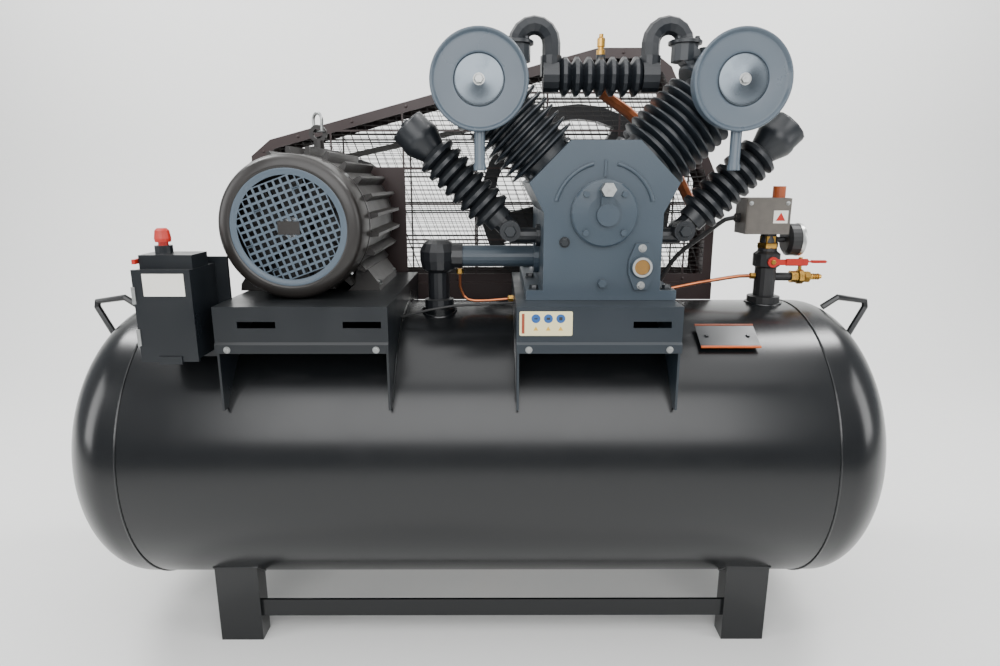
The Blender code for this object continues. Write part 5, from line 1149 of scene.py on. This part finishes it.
@dataclass
class Pump:
    """Fine covers, barrels, heads and fasteners of the two-stage pump."""

    steps: int = 72
    seat: float = 133.3 * MM
    barrel: float = 156 * MM
    bore: float = 46 * MM
    core: float = 55 * MM
    fin: float = 77 * MM
    fins: int = 8
    head: float = 52 * MM
    head_radius: float = 80.4 * MM
    bank_y: float = -110 * MM
    cooler_offset: float = 145 * MM
    cooler_foot: float = 117.3 * MM
    cooler_fin: float = 40.4 * MM
    cooler_length: float = 253 * MM
    cooler_core: float = 26 * MM
    cooler_cap: float = 36.4 * MM
    cooler_foot_bolt: tuple[float, float, float] = (167.6 * MM, -146 * MM, 854.5 * MM)
    port_height: float = 1194.2 * MM
    case_face: float = -215.2 * MM
    case_rib: float = 89 * MM
    skin: float = 0.4 * MM

    def __post_init__(self) -> None:
        """Read the crank's place."""
        self.crank = joint_place("crank_spin")

    def bank(self, side: int) -> Matrix:
        """Lean a bank over.

        Args:
            side: minus one for the left bank, one for the right.

        Returns:
            The matrix whose Z runs up the cylinders.
        """
        return Matrix.Translation((self.crank.x, 0, self.crank.z)) @ Matrix.Rotation(
            side * math.radians(45), 4, "Y",
        )

    def filter(self, word: str) -> None:
        """Drum with a rolled rim, dished front, lacquered cone, nut and intake stem.

        Args:
            word: the side's name.
        """
        low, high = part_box(f"intake_filter_{word}")
        r = (high.x - low.x) / 2
        centre = Vector(((low.x + high.x) / 2, high.y, high.z - r))
        front = high.y - low.y - 11 * MM
        facing = (0, -1, 0)
        drum = Piece(f"filter_drum_{word}")
        rim = [(r - 3 * MM + 3 * MM * c, front - 3.6 * MM + 3.6 * MM * s) for c, s in arc(1, -60, 150, 10)]
        drum.lathe(
            [
                (0, 0), (24 * MM, 0), (24 * MM, 12 * MM), (r - 20 * MM, 13 * MM), (r - 8 * MM, 15 * MM),
                (r - 3.5 * MM, 20 * MM), (r - 3.5 * MM, front - 9 * MM), *rim, (r - 8 * MM, front - 4.5 * MM),
                (r - 12 * MM, front - 5.2 * MM), (0.56 * r, front - 2.6 * MM), (0.52 * r, front - 3.4 * MM),
                (0.50 * r, front - 6 * MM), (0, front - 6 * MM),
            ],
            centre, facing, 112,
        )
        stem = Vector((centre.x, centre.y - 36 * MM, low.z))
        drum.lathe(
            [
                (0, 0), (11 * MM, 0), (11 * MM, 9 * MM), (9.5 * MM, 11 * MM), (9.5 * MM, 68 * MM),
                (0, 68 * MM),
            ],
            stem, steps=32,
        )
        drum.done(FILTER_PAINTED_HIGHLIGHT_ENAMEL, "filter_paint", replaces=(f"intake_filter_{word}",))
        cone = Piece(f"filter_cone_{word}").lathe(
            [
                (0.49 * r, front - 6 * MM), (0.49 * r, front - 2.6 * MM), (0.46 * r, front - 1.8 * MM),
                (0.40 * r, front - 2.6 * MM), (0.13 * r, front + 4.5 * MM), (0, front + 4.5 * MM),
            ],
            centre, facing, 96,
        )
        cone.done(CONE_STEEL, "filter_paint")
        nut = Piece(f"filter_nut_{word}").bolt(
            centre + Vector((0, -front - 4.3 * MM, 0)), facing, 8 * MM, 5.5 * MM,
        )
        nut.done(ZINC, "plug_alloy")

    def cylinder(self, side: int, word: str) -> None:
        """First-stage barrel with thin tapered fins, and the head's drum over it.

        Args:
            side: minus one for the left bank, one for the right.
            word: the side's name.
        """
        lean = self.bank(side)
        end = 0.09 * self.barrel
        pitch = (self.barrel - 2 * end) / self.fins
        outline = [(self.bore, 0), (self.core, 0)]
        for index in range(self.fins):
            foot = end + index * pitch
            outline += [
                (self.core, foot), (self.core + 3 * MM, foot + 0.10 * pitch),
                (self.fin - MM, foot + 0.26 * pitch),
                (self.fin, foot + 0.32 * pitch), (self.fin, foot + 0.46 * pitch),
                (self.fin - MM, foot + 0.52 * pitch),
                (self.core + 3 * MM, foot + 0.68 * pitch), (self.core, foot + 0.78 * pitch),
            ]
        outline += [(self.core, self.barrel), (self.bore, self.barrel), (self.bore, 0)]
        foot = (0, self.bank_y, self.seat)
        barrel = Piece(f"finned_barrel_{word}", lean).lathe(outline, foot, steps=self.steps)
        barrel.done(BARREL_ENAMEL, "cylinder_paint", replaces=(f"first_stage_cylinder_{word}",))
        r, deep = self.head_radius, 6.6 * MM
        drum = [(self.bore, -self.skin), (r - 3 * MM, -self.skin), (r, 3 * MM)]
        for groove in (10 * MM, 28 * MM):
            drum += [
                (r, groove - MM), (r - deep, groove + 2.4 * MM), (r - deep, groove + 9.6 * MM),
                (r, groove + 13 * MM),
            ]
        drum += [(r, self.head - 3 * MM), (r - 3 * MM, self.head + self.skin), (0, self.head + self.skin)]
        top = Vector((0, self.bank_y, self.seat + self.barrel + 0.3 * MM))
        head = Piece(f"head_drum_{word}", lean).lathe(drum, top, steps=self.steps)
        head.done(BARREL_ENAMEL, "cylinder_paint")
        bolts = Piece(f"head_bolts_{word}", lean)
        for x, y in arc(63 * MM, 30, 390, 6)[:-1]:
            bolts.bolt(top + Vector((x, y, self.head + self.skin)), (0, 0, 1), 8 * MM, 6 * MM)
        for x, y in arc(66 * MM, 45, 405, 4)[:-1]:
            bolts.bolt((x, self.bank_y + y, self.seat + 1 * MM), (0, 0, 1), 6 * MM, 5 * MM)
        bolts.done(BLACK_BOLT, "cylinder_paint")
        port = Piece(f"port_flange_{word}")
        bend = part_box(f"intercooler_bend_{word}")
        x = bend[0].x + 17 * MM if side < 0 else bend[1].x - 17 * MM
        spot = Vector((x, self.bank_y, self.port_height))
        hole, rim, thick = 17.2 * MM, 31 * MM, 6.5 * MM
        flange = [
            (hole, 0), (rim, 0), (rim, 5 * MM), (29 * MM, thick), (hole, thick), (hole, 0),
        ]
        port.lathe(flange, spot, steps=40)
        for dx, dy in arc(24.5 * MM, 45, 405, 4)[:-1]:
            port.bolt(spot + Vector((dx, dy, thick)), (0, 0, 1), 4.6 * MM, 4 * MM)
        port.done(COOLER_ENAMEL, "cooler_paint")

    def cooler(self, side: int, word: str) -> None:
        """Rounder fins over the side cooler, its cap screw and its mounting nut.

        Args:
            side: minus one for the left bank, one for the right.
            word: the side's name.
        """
        lean = self.bank(side)
        length, core, skin = self.cooler_length, self.cooler_core, self.skin
        run = 0.8 * length
        end = 0.09 * run
        pitch = (run - 2 * end) / 8
        outline = [(0, -skin), (core + skin, -skin)]
        for index in range(8):
            foot = end + index * pitch
            outline += [
                (core + skin, foot - skin), (self.cooler_fin, foot + 0.24 * pitch),
                (self.cooler_fin, foot + 0.58 * pitch), (core + skin, foot + pitch - skin),
            ]
        cap = self.cooler_cap
        outline += [
            (cap, 0.82 * length), (cap + 2 * MM, 0.84 * length), (cap + 2 * MM, 0.88 * length),
            (cap, 0.9 * length), (cap, length - 3 * MM), (cap - 3 * MM, length + skin), (0, length + skin),
        ]
        spot = Vector((side * self.cooler_offset, self.bank_y, self.cooler_foot))
        body = Piece(f"cooler_fins_{word}", lean).lathe(outline, spot, steps=48)
        body.done(COOLER_ENAMEL, "cooler_paint")
        nut = Piece(f"cooler_nuts_{word}")
        out, y, z = self.cooler_foot_bolt
        nut.bolt((self.crank.x + side * out, y, z), (0, -1, 0), 12 * MM, 8 * MM)
        top = lean @ (spot + Vector((0, 0, length + skin)))
        nut.bolt(top, lean.to_3x3() @ Vector((0, 0, 1)), 10 * MM, 6 * MM)
        nut.done(BLACK_BOLT, "cooler_paint")

    def case(self) -> None:
        """Cast ribs and a plug round the front cover, the oil eye with its ring, and small nuts."""
        face = Vector((self.crank.x, self.case_face, self.crank.z))
        ribs = Piece("case_ribs")
        for start, end in ((104, 166), (14, 76)):
            path = [face + Vector((x, 0, z)) for x, z in arc(self.case_rib, start, end, 20)]
            ribs.sweep(path, 4 * MM, 12)
        ribs.sweep([face + Vector((0, 0, z * MM)) for z in (64, 74, 84, 93)], 3 * MM, 12)
        ribs.done(CASE_ENAMEL, "case_paint")
        plug = Piece("case_plug").bolt(face + Vector((-70 * MM, 0, -52 * MM)), (0, -1, 0), 8 * MM, 6 * MM)
        plug.done(BLACK_BOLT, "case_paint")
        low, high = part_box("oil_sight_glass")
        eye = Vector(((low.x + high.x) / 2, low.y + 2.8 * MM, (low.z + high.z) / 2))
        disc = [(0, 0), (13.7 * MM, 0), (13.7 * MM, 0.5 * MM), (0, 0.5 * MM)]
        Piece("oil_level_disc").lathe(disc, eye, (0, -1, 0), 40).done(OIL, "sight_alloy")
        Piece("oil_window").lathe(disc, eye + Vector((0, -1.4 * MM, 0)), (0, -1, 0), 40).done(
            GLASS, "sight_alloy",
        )
        ring = [(14 * MM, 0), (18 * MM, 0), (18 * MM, 3.4 * MM), (14 * MM, 3.4 * MM), (14 * MM, 0)]
        Piece("sight_ring").lathe(ring, eye, (0, -1, 0), 48).done(ALLOY, "sight_alloy")
        screws = Piece("sight_screws")
        for z in (-34, 34):
            screws.bolt((eye.x, high.y - 7 * MM, eye.z + z * MM), (0, -1, 0), 6 * MM, 4 * MM)
        screws.done(ZINC, "plug_alloy")
        nuts = Piece("tube_nuts")
        hexagon = [(3.4 * MM, 0), (7.5 * MM, 0), (7.5 * MM, 10 * MM), (3.4 * MM, 12 * MM), (3.4 * MM, 0)]
        nuts.lathe(hexagon, (68 * MM, -60 * MM, 709 * MM), (-1, 0, 0), 6)
        nuts.lathe(hexagon, (-43 * MM, -60 * MM, 771.5 * MM), (0, 0, -1), 6)
        nuts.lathe(hexagon, (365 * MM, 0, 716 * MM), (1, 0, 0), 6)
        nuts.lathe(hexagon, (593.5 * MM, 0, 748 * MM), (-1, 0, 0), 6)
        bore = 11.3 * MM
        wide = [
            (bore, 0), (19 * MM, 0), (19 * MM, 14 * MM), (13 * MM, 20 * MM), (bore, 20 * MM), (bore, 0),
        ]
        nuts.lathe(wide, (self.crank.x, -69.5 * MM, 1138 * MM), (0, 1, 0), 6)
        nuts.done(BRASS, "valve_brass")

    def build(self) -> None:
        """Make everything on the pump."""
        for side, word in ((-1, "left"), (1, "right")):
            self.filter(word)
            self.cylinder(side, word)
            self.cooler(side, word)
        self.case()


@dataclass
class Controls:
    """Gauge face, lever grips, labels and small fittings of the two control groups."""

    dial: float = 28.4 * MM
    scale_from: float = 225.0
    scale_sweep: float = 270.0
    divisions: int = 48
    union_height: float = 808 * MM
    outlet_height: float = 746 * MM
    cable_at: tuple[float, float] = (10 * MM, 872 * MM)
    label_height: float = 775 * MM
    box_outlet: tuple[float, float, float] = (-588 * MM, -214 * MM, 713 * MM)

    @staticmethod
    def gland(bore: float, wide: float, collar: float, deep: float) -> list[tuple[float, float]]:
        """Outline of a cable gland's nut.

        Args:
            bore: radius of the cable's hole.
            wide: radius over the nut's corners.
            collar: length of the hexagon.
            deep: length of the whole nut.

        Returns:
            The closed outline, as (radius, height).
        """
        return [(bore, 0), (wide, 0), (wide, collar), (8 * MM, deep), (bore, deep), (bore, 0)]

    def gauge(self) -> None:
        """White dial with plain ticks, a flat window and a bright bezel."""
        low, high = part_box("pressure_gauge")
        floor = high.x - 9.7 * MM
        centre = Vector((floor, 0, (low.z + high.z) / 2))
        facing = (1, 0, 0)
        card = [(0, 0), (self.dial, 0), (self.dial, 0.4 * MM), (0, 0.4 * MM)]
        Piece("gauge_card").lathe(card, centre, facing, 72).done(WHITE_FILM, "black_plastic")
        ticks = Piece("gauge_ticks")
        for index in range(self.divisions + 1):
            turn = math.radians(self.scale_from - self.scale_sweep * index / self.divisions)
            major = index % 8 == 0
            inner = self.dial * (0.76 if major else 0.84)
            half = (0.55 if major else 0.28) * MM
            out = Vector((0, math.cos(turn), math.sin(turn)))
            ends = [centre + out * inner, centre + out * (0.92 * self.dial)]
            ticks.sweep([point + Vector((0.42 * MM, 0, 0)) for point in ends], half, 4)
        ring = [centre + Vector((0.42 * MM, y, z)) for y, z in arc(0.93 * self.dial, -45, 225, 54)]
        ticks.sweep(ring, 0.25 * MM, 4)
        ticks.done(BLACK_INK, "black_plastic")
        pane = [(0, 0), (self.dial, 0), (self.dial, 1 * MM), (0, 1 * MM)]
        Piece("gauge_window").lathe(pane, centre + Vector((7 * MM, 0, 0)), facing, 72).done(
            GLASS, "black_plastic",
        )
        bezel = [
            (28.6 * MM, 6.5 * MM), (29 * MM, 9.8 * MM), (31 * MM, 10.6 * MM), (34 * MM, 10 * MM),
            (35 * MM, 8 * MM), (35 * MM, 1 * MM), (34.1 * MM, 1 * MM), (34.1 * MM, 6.5 * MM),
            (28.6 * MM, 6.5 * MM),
        ]
        Piece("gauge_bezel").lathe(bezel, centre, facing, 96).done(ALLOY, "piston_alloy")

    def grips(self) -> None:
        """Dipped vinyl over the two valve levers, each moving with its lever."""
        low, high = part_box("riser_valve_lever")
        grip = Piece("riser_lever_grip")
        grip.block(
            (low.x + 36 * MM, low.y - 2 * MM, low.z - 1.5 * MM + 5 * MM),
            (high.x + 2 * MM, high.y + 0.4 * MM, high.z + 1.5 * MM - 5 * MM), 2 * MM,
        )
        grip.done(RED_PLASTIC, "red_plastic", "riser_valve_lever")
        low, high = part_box("outlet_cock_lever")
        grip = Piece("cock_lever_grip")
        grip.block(
            (low.x + 32 * MM, -6.6 * MM, low.z - 0.4 * MM), (high.x + 2 * MM, 6.6 * MM, high.z + 0.6 * MM),
            1.8 * MM,
        )
        grip.done(RED_PLASTIC, "red_plastic", "outlet_cock_lever")

    def riser(self) -> None:
        """Brass union on the riser, the cock's hexagon and hose barb, and the spindle's nut."""
        low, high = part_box("air_manifold")
        x = low.x + 34 * MM
        union = Piece("riser_union")
        wide, neck = 22.5 * MM, 18.5 * MM
        body = [
            (0, 0), (21 * MM, 0), (wide, 2 * MM), (wide, 11 * MM), (neck, 13 * MM), (neck, 26 * MM),
            (0, 26 * MM),
        ]
        union.lathe(body, (x, 0, self.union_height), steps=6)
        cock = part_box("outlet_cock")
        tip = Vector((cock[1].x - 0.3 * MM, 0, self.outlet_height))
        union.lathe(
            [(0, -14 * MM), (13 * MM, -14 * MM), (13 * MM, -3 * MM), (9 * MM, 0), (0, 0)], tip, (1, 0, 0), 6,
        )
        barb = [(3 * MM, 0), (7 * MM, 0)]
        for ridge in range(4):
            barb += [(7.4 * MM, (2 + 5 * ridge) * MM), (5.4 * MM, (6.4 + 5 * ridge) * MM)]
        barb += [(4.6 * MM, 24 * MM), (3 * MM, 24 * MM), (3 * MM, 0)]
        union.lathe(barb, tip, (1, 0, 0), 32)
        union.bolt((x, -36.2 * MM, 781.5 * MM), (0, -1, 0), 5.5 * MM, 3.5 * MM)
        union.bolt((cock[0].x + 20 * MM, 0, 784 * MM), (0, 0, 1), 5 * MM, 3.5 * MM)
        union.done(BRASS, "valve_brass")

    def switch(self) -> None:
        """Cover screws, gland nut and the plain plate with a red wedge on the pressure switch."""
        low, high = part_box("pressure_switch")
        left = low.x + 10 * MM
        face = low.y
        cover = Piece("switch_cover")
        cover.block(
            (left - 0.6 * MM, face - 0.8 * MM, low.z + 5 * MM),
            (high.x + 0.6 * MM, high.y + 0.6 * MM, high.z + 0.8 * MM), 3 * MM,
        )
        cover.done(SWITCH_PLASTIC, "black_plastic")
        screws = Piece("switch_screws")
        for x in (left + 8 * MM, high.x - 8 * MM):
            screws.bolt((x, face - 0.8 * MM, high.z - 10 * MM), (0, -1, 0), 3.6 * MM, 1.8 * MM)
        screws.done(ZINC, "plug_alloy")
        nut = self.gland(5.2 * MM, 11 * MM, 8 * MM, 11 * MM)
        gland = Piece("gland_nut").lathe(nut, (left, *self.cable_at), (-1, 0, 0), 6)
        gland.done(BLACK_PLASTIC, "black_plastic")
        spot = Vector((high.x - 21 * MM, face - 0.8 * MM, low.z + 36 * MM))
        plate = [(15 * MM * sx, 13 * MM * sy) for sx, sy in CORNERS]
        Piece("switch_plate").plate(plate, 0.6 * MM, spot).done(WHITE_FILM, "black_plastic")
        wedge = [(-10 * MM, -8 * MM), (10 * MM, -8 * MM), (0, 9 * MM)]
        Piece("switch_wedge").plate(wedge, 0.2 * MM, spot + Vector((0, -0.6 * MM, 0))).done(
            RED_PLASTIC, "red_plastic",
        )

    def box_front(self) -> None:
        """Blank label and hinge knuckles, both moving with the door, and the box's gland."""
        low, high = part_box("switch_box_door")
        front = low.y + 3 * MM
        label = [(35.5 * MM * sx, 19.5 * MM * sy) for sx, sy in CORNERS]
        spot = Vector((low.x + 53.5 * MM, front, self.label_height))
        Piece("door_label").plate(label, 0.5 * MM, spot).done(WHITE_FILM, "box_paint", "box_door")
        hinges = Piece("door_knuckles")
        for z in (668, 742):
            knuckle = [(0, 0), (3.5 * MM, 0), (3.5 * MM, 30 * MM), (0, 30 * MM)]
            hinges.lathe(knuckle, (low.x + 0.5 * MM, front, z * MM), steps=24)
        hinges.done(ZINC, "plug_alloy", "box_door")
        nut = self.gland(6.2 * MM, 12 * MM, 9 * MM, 12 * MM)
        gland = Piece("box_gland").lathe(nut, self.box_outlet, (-1, 0, 0), 6)
        gland.done(BLACK_PLASTIC, "black_plastic")

    def capillary(self) -> None:
        """Thin sheathed line along the receiver's top between the two brackets."""
        line = Piece("capillary_line")
        route = ((-159, 682), (-103, 696), (-50, 705), (20, 708), (69, 711))
        knots = [Vector((x, -120, z)) * MM for x, z in route]
        points = [a.lerp(b, step / 4) for a, b in zip(knots, knots[1:]) for step in range(4)] + [knots[-1]]
        line.sweep(points, 2.5 * MM, 12)
        line.done(SHEATH, "hose_rubber")

    def build(self) -> None:
        """Make everything in both groups."""
        self.gauge()
        self.grips()
        self.riser()
        self.switch()
        self.box_front()
        self.capillary()


# ----------------------------------------------------------------- the studio
@dataclass
class Studio:
    """Pale seamless backdrop, soft lamps and the camera."""

    half_width: float = 6.0
    front: float = -5.0
    rear: float = 1.6
    sweep: float = 1.2
    height: float = 4.5
    camera_place: tuple[float, float, float] = (0.037, -1.403, 0.950)
    camera_turn: tuple[float, float, float] = (76.77, 0.0, -0.131)
    lens: float = 23.4

    def backdrop(self) -> None:
        """A floor that curves up into a wall."""
        profile = [(self.front, 0.0), (self.rear, 0.0)]
        profile += [(self.rear + self.sweep * c, self.sweep + self.sweep * s) for c, s in arc(1, -85, 0, 16)]
        profile.append((self.rear + self.sweep, self.height))
        made = bmesh.new()
        rows = [[made.verts.new((x, y, z)) for x in (-self.half_width, self.half_width)] for y, z in profile]
        for (a, b), (c, d) in zip(rows, rows[1:]):
            made.faces.new((a, b, d, c))
        mesh = bpy.data.meshes.new("backdrop")
        made.to_mesh(mesh)
        made.free()
        mesh.shade_smooth()
        paper = PrintedFilm("Seamless paper, pale", "#e6e6e4", 0.7, aged="#dededc")
        mesh.materials.append(paper.material())
        thing = bpy.data.objects.new("backdrop", mesh)
        bpy.context.scene.collection.objects.link(thing)

    def lamp(self, name: str, place: Point, target: Point, size: tuple[float, float], watts: float) -> None:
        """Hang one soft rectangular lamp.

        Args:
            name: the lamp's name.
            place: where it hangs.
            target: where it looks.
            size: its width and height.
            watts: its power.
        """
        light = bpy.data.lights.new(name, "AREA")
        light.shape = "RECTANGLE"
        light.size, light.size_y = size
        light.energy = watts
        thing = bpy.data.objects.new(name, light)
        thing.location = place
        thing.rotation_euler = (Vector(target) - Vector(place)).to_track_quat("-Z", "Y").to_euler()
        bpy.context.scene.collection.objects.link(thing)

    def light(self) -> None:
        """Ceiling softbox, front bank, two side banks, washed wall and a pale surround."""
        world = bpy.data.worlds.new("surround")
        world.use_nodes = True
        world.node_tree.nodes["Background"].inputs["Color"].default_value = (0.86, 0.90, 0.95, 1.0)
        world.node_tree.nodes["Background"].inputs["Strength"].default_value = 0.45
        bpy.context.scene.world = world
        self.lamp("ceiling", (0.0, -0.6, 3.2), (0.0, 0.0, 0.5), (3.6, 2.2), 55.0)
        self.lamp("front_bank", (0.0, -2.6, 2.0), (0.0, 0.0, 0.6), (3.2, 2.0), 90.0)
        self.lamp("left_bank", (-3.2, -1.4, 1.6), (-0.2, 0.0, 0.7), (1.2, 2.2), 45.0)
        self.lamp("right_bank", (3.2, -1.2, 1.7), (0.2, 0.0, 0.7), (1.2, 2.2), 45.0)
        for side, word in ((-1, "left"), (1, "right")):
            self.lamp(f"wall_wash_{word}", (side * 2.2, 0.6, 3.4), (side * 1.0, 2.8, 1.0), (1.6, 0.8), 120.0)

    def camera(self) -> None:
        """Stand the camera close in front of the pump, looking a little down."""
        lens = bpy.data.cameras.new("camera")
        lens.lens = self.lens
        lens.sensor_width = 36.0
        thing = bpy.data.objects.new("camera", lens)
        thing.location = self.camera_place
        thing.rotation_euler = [math.radians(turn) for turn in self.camera_turn]
        bpy.context.scene.collection.objects.link(thing)
        bpy.context.scene.camera = thing

    def build(self) -> None:
        """Set up backdrop, lamps and camera."""
        self.backdrop()
        self.light()
        self.camera()


def dress_nodes() -> None:
    """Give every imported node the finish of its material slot."""
    for row in frame["record"]["subparts"]:
        finish = NODE_FINISH.get(row["node"], SLOT_FINISH[row["material_slot"]])
        for held in frame["nodes"][row["node"]].material_slots:
            held.material = finish.material()


def main() -> None:
    """Dress the nodes, and build each sub-assembly and the studio."""
    logging.basicConfig(level=logging.INFO, format="%(message)s")
    dress_nodes()
    for assembly in (Receiver(), Saddles(), Motor(), GuardMesh(), Pump(), Controls(), Studio()):
        assembly.build()


if __name__ == "__main__":
    main()
